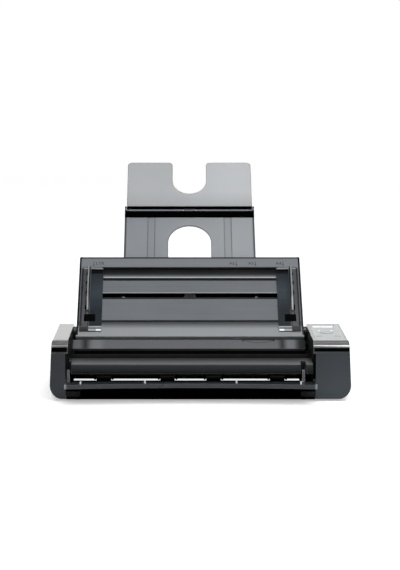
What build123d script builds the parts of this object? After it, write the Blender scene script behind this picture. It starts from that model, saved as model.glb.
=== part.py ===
from build123d import *
import math
import os

# A slim document scanner. Two end caps carry a paper path, a cover that opens into a paper tray,
# a paper rest that slides out of the cover and folds, two geared side guides and a front visor.
#
# Axes while building: X to the right with 0 at the paper's middle, Y to the back with 0 at the
# front faces of the end caps, Z up from the desk. Tray pieces are drawn flat in (x, u, w), where u
# climbs the tray from its lower edge and w stands out of its face, and are then laid on the tray.
# At the end every piece is shifted, so that the origin is on the desk under the middle of the part.

# Body, millimetres
throat_half = 127.2
left_cap_width = 19.2
right_cap_width = 39.6
body_height = 64.0
foot_height = 2.0
shell_wall = 2.2
cap_front_depth = 9.0
cap_back_radius = 8.5
cap_low_radius = 3.2
cap_bottom_radius = 15.0
cap_edge_radius = 2.0
cap_side_draft = 0.05
cap_seam = 0.5
frame_plate = 2.3
fit_gap = 0.2
part_gap = 0.3
running_gap = 0.06

# Depth of the body from front to back: front bar, feed bridge, paper entry, ledge, tray and hinge
bar_front_y = 6.5
bar_depth = 21.8
bridge_gap = 2.2
bridge_depth = 17.5
bridge_lip = 3.0
entry_gap = 16.5
ledge_gap = 1.5
ledge_depth = 10.6
tray_gap = 1.4
tray_to_back = 27.5

# Recess in the inner sides of the end caps, which takes the visor
rebate_step = 2.7
rebate_depth = 18.0
rebate_top = 51.0

# Base tray
floor_wall = 2.4
fascia_front = 2.0
fascia_top = 16.6
corner_block_width = 13.0
corner_block_height = 7.5
corner_block_step = 1.5
rib_plate = 1.8
rib_setback = 4.0
rib_end_inset = 15.0
foot_radius = 7.0
foot_edge = 0.6
foot_inset_x = 9.0
foot_inset_y = 16.0

# Cover hinge and tray face
tray_angle = 44.0
tray_foot_z = 52.0
hinge_u = 14.2
hinge_w = -5.4
hinge_pin_radius = 2.5
hinge_boss_radius = 3.7
hinge_boss_length = 4.8
hinge_shield_radius = 16.0
hinge_shield_rise = 1.5
cover_close_angle = 136.0
cover_side_gap = 3.3
cover_length = 111.0
cover_depth = 12.0
cover_wall = 1.8
cover_skin = 1.5
cover_corner_radius = 1.4
cover_edge_radius = 2.5
cover_sweep_radius = 17.0
ramp_length = 14.7
ramp_rise = 3.0
seam_u = 22.4
seam_width = 1.5
trough_seam_width = 2.2
seam_depth = 0.9
band_width = 15.5
trough_length = 15.5
trough_depth = 2.8
trough_skin = 1.2
tray_border = 10.9
recess_length = 8.0

# Side guides with rack and pinion
guide_border = 3.2
guide_width = 23.9
guide_face_inset = 9.2
guide_low_u = 7.3
guide_plate = 1.2
guide_fence_wall = 2.2
guide_fence_height = 8.5
guide_fence_low_u = 35.0
guide_fence_taper = 15.0
guide_fence_drop = 5.2
guide_travel = 58.0
guide_slot_drop = 25.7
guide_slot_width = 6.1
guide_neck_gap = 0.3
guide_rim = 1.1
guide_rim_rise = 0.4
guide_end_bar = 2.0
guide_end_gap = 3.2
guide_pad_low_u = 21.0
guide_pad_length = 10.0
guide_pad_width = 12.6
guide_pad_inset = 4.2
guide_pad_floor = 0.4
detent_x = 73.5
detent_radius = 1.6
rack_module = 1.0
rack_pinion_teeth = 12
rack_layer_top = -1.8
rack_layer_depth = 1.8
rack_back = 2.6
rack_end = 9.0
pinion_post_radius = 1.5

# Paper rest: a lower panel that slides in the cover and an upper panel that folds behind it
rest_half_width = 74.9
rest_panel = 1.6
rest_face_w = -4.4
rest_overlap = 16.0
rest_edge_step = 2.0
rest_edge_drop = 0.7
rest_channel_inner = 40.0
rest_channel_outer = 48.0
rest_channel_depth = 0.5
rest_out = 61.6
rest_stop_gap = 0.9
beam_length = 10.5
beam_face_w = -2.4
beam_gap = 0.3
beam_overlap = 2.0
fold_w = -6.25
fold_pin_radius = 1.0
knuckle_radius = 2.2
knuckle_end_length = 7.0
hinge_ear_rise = 4.6
upper_beam_length = 2.3
upper_side_gap = 2.1
upper_length = 73.8
upper_corner_radius = 5.0
arch_half_width = 24.45
arch_rise = 25.1
arch_below = 7.0
arch_corner_radius = 6.0
notch_half_width = 19.75
notch_drop = 28.4
rail_wall = 1.8

# Paper path
path_flat_z = 19.2
path_entry_z = 40.5
path_front_y = 5.0
path_plate = 1.8
path_side_gap = 2.4
ledge_front_z = 42.3
ledge_slope = 0.76
ledge_end_cut = 2.8
ledge_wall = 2.0
ledge_scoop_x = 74.0
ledge_scoop_half = 17.0
ledge_scoop_reach = 4.0
ledge_scoop_depth = 0.7
rear_deck_z = 41.0
rear_inset = 1.0
rear_corner = 4.5
bar_left_gap = 2.9
bar_right_gap = 12.4
bar_notch_width = 5.4
bar_block_overlap = 0.4
bar_low_z = 28.0
bar_front_z = 38.1
bar_back_z = 40.7
bar_wall = 2.0
bar_ribs = 4
bridge_lip_z = 41.2
bridge_lip_height = 2.4
bridge_lip_slope = 1.6
bridge_front_z = 38.5
bridge_clearance = 2.3
bridge_wall = 1.8
pad_to_lip = 1.0
pad_half_width = 26.0
pad_length = 6.0
pad_thickness = 0.9
strip_inset_front = 1.5
strip_inset_back = 3.0
strip_thickness = 0.8
strip_left_gap = 1.8
strip_right_gap = 0.6
sensor_inset = 7.5
sensor_low_z = 22.2
sensor_high_z = 35.0
sensor_end_gap = 0.8
sensor_glass = 0.8

# Rollers, bushes and gears
feed_tyre_radius = 10.0
feed_tyre_rise = 0.8
feed_tyre_x = 15.0
feed_tyre_half = 11.0
feed_shaft_radius = 3.0
exit_setback = 3.5
exit_tyre_radius = 5.0
exit_tyre_rise = 1.0
exit_shaft_radius = 2.0
exit_tyre_x = (24.0, 90.5)
exit_tyre_half = 7.6
tyre_edge = 0.4
pinch_radius = 3.2
pinch_gap = 0.3
pinch_end_gap = 0.6
pinch_shaft_radius = 1.5
holder_plate = 2.0
bush_wall = 1.6
gear_module = 0.8
feed_teeth = 24
exit_teeth = 12
pinion_teeth = 12
gear_inset = 5.8
gear_width = 5.0
gear_plate_gap = 1.5
gear_plate = 1.6
idler_post_radius = 2.0
motor_shaft_radius = 1.0
motor_radius = 11.0
motor_length = 17.0
motor_boss = 1.5
motor_angle = 70.0
bracket_below = 8.0
bracket_ahead = 6.0
bracket_behind = 18.0
pillar_radius = 2.5
pillar_inset = 4.0
pressure_angle = 20.0
tooth_height = 0.7
tooth_root = 1.05
tooth_backlash = 0.12

# Visor
visor_axis_y = 5.0
visor_axis_z = 21.0
visor_side_gap = 0.4
visor_reach = 29.0
visor_bow = 6.0
visor_rear = 2.0
visor_plate = 1.8
visor_plate_drop = 2.2
visor_lip = 1.8
visor_lip_rise = 2.2
visor_rim_rise = 2.0
visor_arm_height = 12.0
visor_arm_width = 4.0
visor_arm_plate = 2.6
visor_arm_round = 1.2
visor_left_arm_inset = 1.1
visor_right_arm_gap = 1.4
visor_arm_room = 0.8
visor_lug_radius = 2.2
visor_lug_width = 1.6
visor_pin_radius = 1.4
visor_nub_x = (47.0, 113.0)
visor_nub_rise = 5.0
visor_nub_length = 4.6
visor_nub_width = 1.6

# Control panel on the right end cap
panel_left_inset = 3.2
panel_right_inset = 5.6
panel_front = 13.0
panel_back_inset = 12.5
panel_thickness = 1.0
panel_corner_radius = 3.0
panel_gap = 0.15
display_left_inset = 1.5
display_right_inset = 4.7
display_back_inset = 3.8
display_length = 13.5
display_frame = 0.8
display_corner_radius = 1.0
light_setback = 17.7
light_inset = (7.3, 20.7)
light_radius = 1.3
scan_key_inset = 14.6
scan_key_setback = 11.0
scan_key_radius = 6.5
side_key_inset = (4.6, 24.8)
side_key_setback = 18.0
side_key_radius = 3.2
key_proud = 0.3
key_gap = 0.3
key_edge = 0.5
key_flange = 0.9
key_flange_plate = 0.9
key_stem_radius = 1.2
key_travel = 0.8
board_drop = 7.8
board_thickness = 1.6
board_side_inset = 5.8
board_front = 24.0
board_back_inset = 5.5
board_post_radius = 2.4
board_post_inset = 4.0
board_post_setback = 14.0
switch_size = 6.0
switch_height = 1.5
usb_inset = 12.0
usb_width = 9.0
usb_height = 3.2
usb_depth = 8.0
usb_wall = 0.35
usb_tongue_half = 3.0

# Places along the depth
bar_back_y = bar_front_y + bar_depth
bridge_front_y = bar_back_y + bridge_gap
bridge_back_y = bridge_front_y + bridge_depth
bridge_lip_y = bridge_back_y - bridge_lip
feed_contact_y = bridge_lip_y - pad_to_lip
path_entry_y = bridge_back_y + entry_gap
ledge_front_y = path_entry_y + ledge_gap
ledge_back_y = ledge_front_y + ledge_depth
ledge_back_z = ledge_front_z + ledge_depth * ledge_slope
tray_foot_y = ledge_back_y + tray_gap
body_depth = tray_foot_y + tray_to_back
sensor_front_y = bar_front_y + sensor_inset
sensor_back_y = bar_back_y - bar_wall - part_gap
strip_front_y = sensor_front_y + strip_inset_front
strip_back_y = sensor_back_y - strip_inset_back
path_bend_y = sensor_back_y
exit_y = bar_front_y + exit_setback

# Places across the width
throat_fit = throat_half - fit_gap
rebate_half = throat_half + rebate_step
path_half_width = throat_half - path_side_gap
bar_left = bar_left_gap - throat_half
bar_right = throat_half - bar_right_gap
bar_notch_end = bar_right + bar_notch_width
bar_block_end = throat_half + bar_block_overlap
sensor_half_width = bar_right - bar_wall - sensor_end_gap
visor_half_width = rebate_half - visor_side_gap
visor_left_arm = visor_left_arm_inset - visor_half_width
visor_right_arm = bar_right + visor_right_arm_gap
cover_half_width = throat_half - cover_side_gap
tray_field_half = cover_half_width - tray_border
guide_plate_outer = cover_half_width - guide_border
guide_plate_inner = guide_plate_outer - guide_width
guide_face = guide_plate_outer - guide_face_inset
guide_wing_outer = guide_face - 1.0
panel_left = throat_half + panel_left_inset
panel_right = throat_half + right_cap_width - panel_right_inset
board_left = throat_half + board_side_inset
board_right = throat_half + right_cap_width - board_side_inset
gear_face_x = throat_half + gear_inset
gear_plate_x = gear_face_x + gear_width + gear_plate_gap

# Places along the tray
trough_high_u = cover_length - band_width
trough_low_u = trough_high_u - trough_length
guide_slot_low_u = trough_low_u - guide_slot_drop
guide_slot_high_u = guide_slot_low_u + guide_slot_width
pinion_u = (guide_slot_low_u + guide_slot_high_u) / 2
guide_high_u = trough_high_u - 0.5
guide_plate_low_u = ramp_length + 0.5
rest_low_u = cover_length - rest_overlap
beam_low_u = cover_length + rest_out
fold_u = beam_low_u + beam_length
rest_travel = beam_low_u - trough_high_u - trough_skin - rest_stop_gap
rail_low_u = rest_low_u - rest_travel - beam_overlap
upper_half_width = rest_half_width - upper_side_gap
upper_low_u = fold_u + knuckle_radius + beam_gap
upper_top_u = fold_u + upper_length
arch_low_u = cover_length - arch_below
arch_centre_u = cover_length + arch_rise
notch_centre_u = upper_top_u - notch_drop
tray_cos = math.cos(math.radians(tray_angle))
tray_sin = math.sin(math.radians(tray_angle))
cover_hinge_y = tray_foot_y + tray_cos * hinge_u - tray_sin * hinge_w
cover_hinge_z = tray_foot_z + tray_sin * hinge_u + tray_cos * hinge_w
tray = Plane(origin=(0, tray_foot_y, tray_foot_z), x_dir=(1, 0, 0), z_dir=(0, -tray_sin, tray_cos))

# Places on the control panel
panel_back = body_depth - panel_back_inset
display_left = panel_left + display_left_inset
display_right = panel_right - display_right_inset
display_back = panel_back - display_back_inset
display_front = display_back - display_length
light_y = display_front - light_setback
scan_key = (panel_left + scan_key_inset, light_y - scan_key_setback)
side_key_y = scan_key[1] - side_key_setback
board_back = body_depth - board_back_inset
usb_x = board_right - usb_inset

# Heights and axes of the paper path
path_slope = (path_entry_z - path_flat_z) / (path_entry_y - path_bend_y)
path_angle = math.atan(path_slope)
feed_contact_z = path_flat_z + path_slope * (feed_contact_y - path_bend_y)
feed_y = feed_contact_y + (feed_tyre_radius - feed_tyre_rise) * math.sin(path_angle)
feed_z = feed_contact_z - (feed_tyre_radius - feed_tyre_rise) * math.cos(path_angle)
exit_z = path_flat_z + exit_tyre_rise - exit_tyre_radius
pinch_z = path_flat_z + exit_tyre_rise + pinch_gap + pinch_radius
gear_span = math.hypot(feed_y - exit_y, feed_z - exit_z)
idler_teeth = 2 * math.ceil((gear_span / gear_module - (feed_teeth + exit_teeth) / 2 + 1) / 2)
pinion_radius = rack_module * rack_pinion_teeth / 2
cap_top_inside = body_height - shell_wall
board_z = cap_top_inside - board_drop


def block(x_from, x_to, y_from, y_to, z_from, z_to):
    """A rectangular block between two corners."""
    solid = Box(x_to - x_from, y_to - y_from, z_to - z_from)
    return Pos((x_from + x_to) / 2, (y_from + y_to) / 2, (z_from + z_to) / 2) * solid


def prism_x(outline, x_from, x_to):
    """Extrude an outline drawn in (y, z) along X."""
    return extrude(Plane.YZ.offset(x_from) * outline, amount=x_to - x_from)


def polygon(*points):
    """A flat outline with straight sides."""
    return make_face(Polyline(*points, close=True))


def rod_x(y, z, radius, x_from, x_to):
    """A round bar along X."""
    return prism_x(Pos(y, z) * Circle(radius), x_from, x_to)


def ring_x(y, z, outer, inner, x_from, x_to):
    """A round tube along X."""
    return prism_x(Pos(y, z) * (Circle(outer) - Circle(inner)), x_from, x_to)


def rod_z(x, y, radius, z_from, z_to):
    """A round bar along Z."""
    return extrude(Plane.XY.offset(z_from) * Pos(x, y) * Circle(radius), amount=z_to - z_from)


def plate_z(outline, z_from, z_to):
    """Extrude an outline drawn in (x, y) along Z."""
    return extrude(Plane.XY.offset(z_from) * outline, amount=z_to - z_from)


def round_corner(outline, corner, radius):
    """Round the corner of an outline that lies nearest to a point."""
    nearest = outline.vertices().sort_by_distance(Vector(*corner))[0]
    return fillet(nearest, radius)


def mirror_x(shape):
    """The same piece on the other side of the paper's middle."""
    return mirror(shape, about=Plane.YZ)


def on_tray(shape):
    """Lay a piece drawn in (x, u, w) on the tray face."""
    return tray.location * shape


def together(shapes):
    """Several separate solids that share one node."""
    return Compound(children=[solid for shape in shapes for solid in shape.solids()])


# End caps and side frames
def cap_side_view(inset):
    """Side view of an end cap in (y, z), drawn in by an inset."""
    low = foot_height + inset
    high = body_height - inset
    front = inset
    back = body_depth - inset
    depth = cap_front_depth - inset
    drop = body_height - rebate_top - inset
    corner = polygon((front, high), (front + depth, high), (front + depth, high - drop), (front, high - drop))
    outline = polygon((front, low), (back, low), (back, high), (front, high))
    outline -= corner - Pos(front + depth, high - drop) * Ellipse(depth, drop)
    outline = round_corner(outline, (back, high), cap_back_radius - inset)
    outline = round_corner(outline, (front, low), cap_low_radius - inset / 2)
    return round_corner(outline, (back, low), cap_low_radius - inset / 2)


def cap_front_view(width, inset):
    """Front view of the right-hand cap in (x, z): the outer side leans in towards the top."""
    low = foot_height + inset
    high = body_height - inset
    widest_z = foot_height + cap_bottom_radius
    outer = throat_half + width - inset
    outer_low = outer + cap_side_draft * (widest_z - low)
    outer_high = outer - cap_side_draft * (high - widest_z)
    inner = throat_half
    outline = polygon((inner, low), (outer_low, low), (outer_high, high), (inner, high))
    outline = round_corner(outline, (outer_low, low), cap_bottom_radius - inset)
    return round_corner(outline, (outer_high, high), cap_edge_radius)


def cap_form(width, inset):
    """The rounded block of a right-hand cap, drawn in by an inset on every outer side."""
    side = prism_x(cap_side_view(inset), throat_half, throat_half + width + 1)
    front = extrude(Plane.XZ * cap_front_view(width, inset), amount=-body_depth)
    return side & front


def rebate_block(clear):
    """Room for the visor beside a cap's front edge."""
    return block(throat_half - 1, rebate_half - clear, -1, rebate_depth, 0, rebate_top)


def plain_cap(width):
    """An empty end cap shell, open towards the paper, with a parting groove round its upper part."""
    shell = cap_form(width, 0) - cap_form(width, shell_wall)
    groove_low = rebate_top - cap_seam / 2
    groove = cap_form(width, 0) - cap_form(width, cap_seam)
    groove &= block(throat_half, throat_half + 2 * width, -1, body_depth + 1, groove_low, groove_low + cap_seam)
    return shell - rebate_block(0) - groove


def panel_outline(grow):
    """Outline of the control panel, or of its seat when grown."""
    x_middle = (panel_left + panel_right) / 2
    y_middle = (panel_front + panel_back) / 2
    x_size = panel_right - panel_left + 2 * grow
    y_size = panel_back - panel_front + 2 * grow
    return Pos(x_middle, y_middle) * RectangleRounded(x_size, y_size, panel_corner_radius + grow)


def display_outline(grow):
    """Outline of the display window, or of its opening when grown."""
    x_middle = (display_left + display_right) / 2
    y_middle = (display_front + display_back) / 2
    x_size = display_right - display_left + 2 * grow
    y_size = display_back - display_front + 2 * grow
    return Pos(x_middle, y_middle) * RectangleRounded(x_size, y_size, display_corner_radius)


def key_places():
    """Centre and radius of each key: the round scan key and the two small ones."""
    places = [(scan_key[0], scan_key[1], scan_key_radius)]
    for inset in side_key_inset:
        places.append((panel_left + inset, side_key_y, side_key_radius))
    return places


def light_places():
    """Centres of the two status lights."""
    return [(panel_left + inset, light_y) for inset in light_inset]


def board_posts():
    """Posts that hang the board from the cap's top."""
    low = board_z + board_thickness
    posts = []
    for x in (board_left + board_post_inset, board_right - board_post_inset):
        for y in (board_front + board_post_setback, board_back - board_post_inset):
            posts.append(rod_z(x, y, board_post_radius, low, cap_top_inside + 0.5))
    return posts


def right_end_cap():
    """Wide cap with the seat of the control panel, key holes, display opening and socket cut-out."""
    cap = plain_cap(right_cap_width)
    seat = body_height - panel_thickness
    cap -= plate_z(panel_outline(panel_gap), seat, body_height + 1)
    for x, y, radius in key_places():
        cap -= rod_z(x, y, radius + key_gap, cap_top_inside - 1, body_height)
    for x, y in light_places():
        cap -= rod_z(x, y, light_radius + 0.1, cap_top_inside - 1, body_height)
    cap -= plate_z(display_outline(-display_frame), cap_top_inside - 1, body_height)
    for post in board_posts():
        cap += post
    half = usb_width / 2 + part_gap
    low = board_z - usb_height - part_gap
    high = board_z + part_gap
    return cap - block(usb_x - half, usb_x + half, body_depth - 2 * shell_wall, body_depth + 1, low, high)


def side_frame(width):
    """Plate that closes a cap's inner side and carries bushes, hinge pin and visor pin."""
    inside = cap_form(width, shell_wall + fit_gap)
    plate_end = throat_half + frame_plate
    step_end = rebate_half + frame_plate
    plate = inside & block(throat_half, plate_end, rebate_depth, body_depth, 0, body_height)
    above = inside & block(throat_half, plate_end, 0, rebate_depth, rebate_top, body_height)
    step = inside & block(throat_half, step_end, rebate_depth, rebate_depth + frame_plate, 0, body_height)
    front = inside & block(rebate_half, step_end, 0, rebate_depth + frame_plate, 0, rebate_top)
    lid = inside & block(throat_half, step_end, 0, rebate_depth, rebate_top, rebate_top + frame_plate)
    frame = plate + above + step + front + lid + hinge_shield()
    frame -= rod_x(cover_hinge_y, cover_hinge_z, hinge_pin_radius + 0.02, throat_half - 1, step_end + 1)
    for y, z, radius in bush_places():
        frame -= rod_x(y, z, radius + 0.02, throat_half - 1, step_end + 1)
    return frame - rod_x(visor_axis_y, visor_axis_z, visor_pin_radius + running_gap, throat_half, step_end + 1)


def hinge_shield():
    """Low round web about the cover hinge, which closes the gap beside the tray."""
    inner = cover_half_width + part_gap
    high = cover_hinge_z + hinge_shield_rise
    web = rod_x(cover_hinge_y, cover_hinge_z, hinge_shield_radius, inner, throat_half)
    web &= block(inner, throat_half, 0, body_depth, 0, high)
    return web - rod_x(cover_hinge_y, cover_hinge_z, hinge_boss_radius + part_gap, inner - 1, throat_half)


def bush_places():
    """Axis and outer radius of the bushes in each side frame."""
    feed = (feed_y, feed_z, feed_shaft_radius + running_gap + bush_wall)
    out = (exit_y, exit_z, exit_shaft_radius + running_gap + bush_wall)
    return [feed, out]


def roller_bushes():
    """Four plain bearing rings, two in each side frame."""
    feed, out = bush_places()
    rings = [ring_x(feed[0], feed[1], feed[2], feed[2] - bush_wall, throat_half, throat_half + frame_plate)]
    rings.append(ring_x(out[0], out[1], out[2], out[2] - bush_wall, rebate_half, rebate_half + frame_plate))
    return together(rings + [mirror_x(ring) for ring in rings])


def cover_hinge_pins():
    """Two short steel pins fixed in the side frames."""
    start = cover_half_width - hinge_boss_length
    pin = rod_x(cover_hinge_y, cover_hinge_z, hinge_pin_radius, start, throat_half + frame_plate)
    return together([pin, mirror_x(pin)])


# Base, feet and rear cover
def guide_underside(y):
    """Height of the lower paper guide's underside."""
    flat = path_flat_z - path_plate
    return flat + path_slope * max(0, y - path_bend_y)


def base_housing():
    """Floor, front fascia with corner blocks, and ribs that carry the lower paper guide."""
    back = body_depth - rear_inset
    floor_top = foot_height + floor_wall
    base = block(-throat_fit, throat_fit, fascia_front, back, foot_height, floor_top)
    half = rebate_half - fit_gap
    fascia_back = fascia_front + floor_wall
    base += block(-half, half, fascia_front, fascia_back, foot_height, fascia_top)
    block_low = foot_height + corner_block_step
    block_high = block_low + corner_block_height
    block_front = fascia_front - corner_block_step
    corner = block(half - corner_block_width, half, block_front, fascia_front, block_low, block_high)
    base += corner
    base += mirror_x(corner)
    for number in range(-2, 3):
        x = number * (throat_half - rib_end_inset) / 2
        base += prism_x(floor_rib(floor_top - 0.5), x - rib_plate / 2, x + rib_plate / 2)
    shaft_room = rod_x(feed_y, feed_z, feed_shaft_radius + 1, -throat_half, throat_half)
    return base - shaft_room


def floor_rib(low):
    """Outline of a rib under the lower paper guide, in (y, z)."""
    back = path_entry_y - rib_setback
    drop = path_plate / math.cos(path_angle) - path_plate
    flat = path_flat_z - path_plate - drop
    return polygon((strip_front_y, low), (back, low), (back, guide_underside(back) - drop), (path_bend_y, flat),
                   (strip_front_y, flat))


def rubber_feet():
    """Four round pads under the body's corners."""
    pads = []
    for y in (foot_inset_y, body_depth - foot_inset_y):
        pad = rod_z(throat_half - foot_inset_x, y, foot_radius, 0, foot_height)
        pad = chamfer(pad.edges().group_by(Axis.Z)[0], foot_edge)
        pads += [pad, mirror_x(pad)]
    return together(pads)


def rear_outline(wall):
    """Rear cover in (y, z): sloping ledge, hollow that clears the tilting tray, deck and rear wall."""
    back = body_depth - rear_inset - wall
    drop = wall * math.hypot(1, ledge_slope)
    rise = wall * ledge_slope
    floor_top = foot_height + floor_wall
    outline = polygon((ledge_front_y + wall, floor_top - wall),
                      (ledge_front_y + wall, ledge_front_z + rise - drop),
                      (ledge_back_y, ledge_back_z - drop),
                      (cover_hinge_y, ledge_back_z - drop),
                      (cover_hinge_y, rear_deck_z - wall),
                      (back - rear_corner, rear_deck_z - wall),
                      (back, rear_deck_z - rear_corner - wall * 0.4),
                      (back, floor_top - wall))
    sweep = Pos(cover_hinge_y, cover_hinge_z) * Circle(cover_sweep_radius + wall)
    return outline - sweep


def rear_cover():
    """One thin moulding: the paper ledge, the hollow under the tray and the rear wall."""
    shell = prism_x(rear_outline(0), -throat_fit, throat_fit)
    shell -= prism_x(rear_outline(ledge_wall), -throat_half, throat_half)
    front_cut = ledge_front_y + ledge_wall + 1
    shell -= block(-throat_half, throat_half, ledge_front_y - 1, front_cut, 0, ledge_front_z - 6)
    ledge_end = throat_half - ledge_end_cut
    cut_low = rear_deck_z - ledge_wall
    shell -= block(ledge_end, throat_half, ledge_front_y - 1, ledge_back_y + tray_gap, cut_low, body_height)
    return shell - ledge_scoop()


def ledge_scoop():
    """Shallow round cut into the ledge from its back edge, for a thumb."""
    radius = (ledge_scoop_half ** 2 + ledge_scoop_reach ** 2) / (2 * ledge_scoop_reach)
    cut = Pos(0, radius - ledge_scoop_reach) * Circle(radius)
    cut = plate_z(cut, -ledge_scoop_depth, ledge_scoop_depth + 1)
    lean = math.degrees(math.atan(ledge_slope))
    return Pos(ledge_scoop_x, ledge_back_y, ledge_back_z) * Rot(lean, 0, 0) * cut


# Paper path
def lower_paper_guide():
    """Plate that carries the sheet from the ledge to the exit, with windows for the tyres."""
    drop = path_plate / math.cos(path_angle)
    outline = polygon((path_front_y, path_flat_z), (path_bend_y, path_flat_z), (path_entry_y, path_entry_z),
                      (path_entry_y, path_entry_z - drop), (path_bend_y, path_flat_z - path_plate),
                      (path_front_y, path_flat_z - path_plate))
    guide = prism_x(outline, -path_half_width, path_half_width)
    for side in (-1, 1):
        x = side * feed_tyre_x
        half = feed_tyre_half + 0.8
        reach = feed_tyre_radius + 0.6
        guide -= block(x - half, x + half, feed_y - reach, feed_y + reach - 4, path_flat_z, body_height)
        for tyre in exit_tyre_x:
            x = side * tyre
            half = exit_tyre_half + 0.6
            guide -= block(x - half, x + half, path_front_y - 1, exit_y + exit_tyre_radius + 0.3, 0, body_height)
    arm_low = visor_right_arm - visor_arm_room
    arm_high = visor_right_arm + visor_arm_plate + visor_arm_room
    arm_back = visor_axis_y + visor_lug_radius + visor_arm_room
    guide -= block(arm_low, arm_high, path_front_y - 1, arm_back, 0, body_height)
    left, right = strip_ends()
    seat = path_flat_z - strip_thickness
    return guide - block(left - 0.1, right + 0.1, strip_front_y, strip_back_y, seat, body_height)


def strip_ends():
    """Left and right end of the white strip, just inside the front bar."""
    return bar_left + strip_left_gap, bar_right - strip_right_gap


def white_strip():
    """White reference strip set flush in the lower guide under the scan bar."""
    left, right = strip_ends()
    seat = path_flat_z - strip_thickness
    return block(left, right, strip_front_y + 0.05, strip_back_y - 0.05, seat, path_flat_z)


def front_bar():
    """Moulded channel over the exit that holds the scan bar, with a notch for the visor's arm."""
    outer = polygon((bar_front_y, bar_low_z), (bar_front_y, bar_front_z), (bar_back_y, bar_back_z),
                    (bar_back_y, bar_low_z))
    outer = round_corner(outer, (bar_front_y, bar_front_z), 0.8)
    outer = round_corner(outer, (bar_back_y, bar_back_z), 2.0)
    rise = (bar_back_z - bar_front_z) / (bar_back_y - bar_front_y) * bar_wall
    inner = polygon((bar_front_y + bar_wall, bar_low_z - 1),
                    (bar_front_y + bar_wall, bar_front_z + rise - bar_wall),
                    (bar_back_y - bar_wall, bar_back_z - rise - bar_wall),
                    (bar_back_y - bar_wall, bar_low_z - 1))
    bar = prism_x(outer, -throat_fit, throat_fit) + prism_x(outer, bar_notch_end, bar_block_end)
    bar -= prism_x(inner, bar_left + bar_wall, bar_right - bar_wall)
    side_room = rebate_depth + 0.5
    bar -= block(bar_right, bar_notch_end, 0, side_room, 0, body_height)
    bar -= block(-throat_half, bar_left, 0, side_room, 0, body_height)
    bar -= block(throat_fit, bar_block_end + 1, rebate_depth - 0.5, body_depth, 0, body_height)
    pitch = (bar_right - bar_left) / bar_ribs
    for number in range(bar_ribs):
        x = bar_left + (number + 0.5) * pitch
        rib = prism_x(inner, x - rib_plate / 2, x + rib_plate / 2)
        bar += rib & block(x - 2, x + 2, 0, body_depth, sensor_high_z, body_height)
    return bar


def pinch_holders():
    """Four clips inside the front bar, each with an ear at both ends of a pinch roller."""
    front = bar_front_y + bar_wall
    back = sensor_front_y - part_gap
    high = sensor_high_z - part_gap
    ear = polygon((front, high), (front, bar_low_z), (bar_front_y, bar_low_z), (bar_front_y, pinch_z - 1),
                  (exit_y, pinch_z - 2.6), (back, pinch_z - 1), (back, high))
    pin_hole = Pos(exit_y, pinch_z) * Circle(pinch_shaft_radius + running_gap)
    reach = exit_tyre_half + pinch_end_gap
    holders = []
    for side in (-1, 1):
        for tyre in exit_tyre_x:
            x = side * tyre
            holder = block(x - reach, x + reach, front, back, high - holder_plate, high)
            holder += prism_x(ear - pin_hole, x - reach - holder_plate, x - reach)
            holder += prism_x(ear - pin_hole, x + reach, x + reach + holder_plate)
            holders.append(holder)
    return together(holders)


def feed_bridge():
    """Hollow cross beam over the feed rollers that presses the separation pad."""
    height = path_flat_z + bridge_clearance
    back_low = height + path_slope * (bridge_back_y - path_bend_y)
    front_low = height + path_slope * (bridge_front_y - path_bend_y)
    lip_foot = bridge_lip_z - bridge_lip_height
    lip_front = bridge_lip_y - bridge_lip_slope
    outer = polygon((bridge_front_y, front_low), (bridge_front_y, bridge_front_z), (lip_front, bridge_lip_z),
                    (bridge_lip_y, bridge_lip_z), (bridge_lip_y, lip_foot), (bridge_back_y, back_low))
    wall = bridge_wall
    inner = polygon((bridge_front_y + wall, front_low + 1.6 * wall), (bridge_front_y + wall, bridge_front_z - wall),
                    (bridge_lip_y - 1.2 * wall, lip_foot - 0.4 * wall), (bridge_back_y - 1.9 * wall, back_low + 0.4))
    return prism_x(outer, -throat_fit, throat_fit) - prism_x(inner, -throat_half, throat_half)


def separation_pad():
    """Rubber pad under the bridge, against the feed tyres."""
    lean = Rot(math.degrees(path_angle), 0, 0)
    pad = Box(2 * pad_half_width, pad_length, pad_thickness)
    rise = bridge_clearance - pad_thickness / 2 / math.cos(path_angle)
    return Pos(0, feed_contact_y, feed_contact_z + rise) * lean * pad


def scan_bar():
    """Contact image sensor held in the front bar."""
    return block(-sensor_half_width, sensor_half_width, sensor_front_y, sensor_back_y, sensor_low_z, sensor_high_z)


def scan_glass():
    """Glass strip bonded under the sensor."""
    low = sensor_low_z - sensor_glass
    return block(-sensor_half_width, sensor_half_width, sensor_front_y + 0.4, sensor_back_y, low, sensor_low_z)


# Rollers and gear train
def shaft(y, z, radius, end):
    """Steel roller shaft from the left frame to the gears on the right."""
    left = -(rebate_half + frame_plate) if y < rebate_depth else -(throat_half + frame_plate)
    return rod_x(y, z, radius, left, end)


def tyre(y, z, x, half, outer, inner):
    """Rubber tyre pressed on a shaft."""
    ring = ring_x(y, z, outer, inner, x - half, x + half)
    rims = ring.edges().filter_by(GeomType.CIRCLE).filter_by(lambda edge: edge.radius > outer - 0.01)
    return chamfer(rims, tyre_edge)


def feed_tyres():
    """Two wide rubber tyres on the feed shaft."""
    return together([tyre(feed_y, feed_z, side * feed_tyre_x, feed_tyre_half, feed_tyre_radius, feed_shaft_radius)
                     for side in (-1, 1)])


def exit_tyres():
    """Four rubber tyres on the exit shaft."""
    return together([tyre(exit_y, exit_z, side * x, exit_tyre_half, exit_tyre_radius, exit_shaft_radius)
                     for side in (-1, 1) for x in exit_tyre_x])


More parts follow.
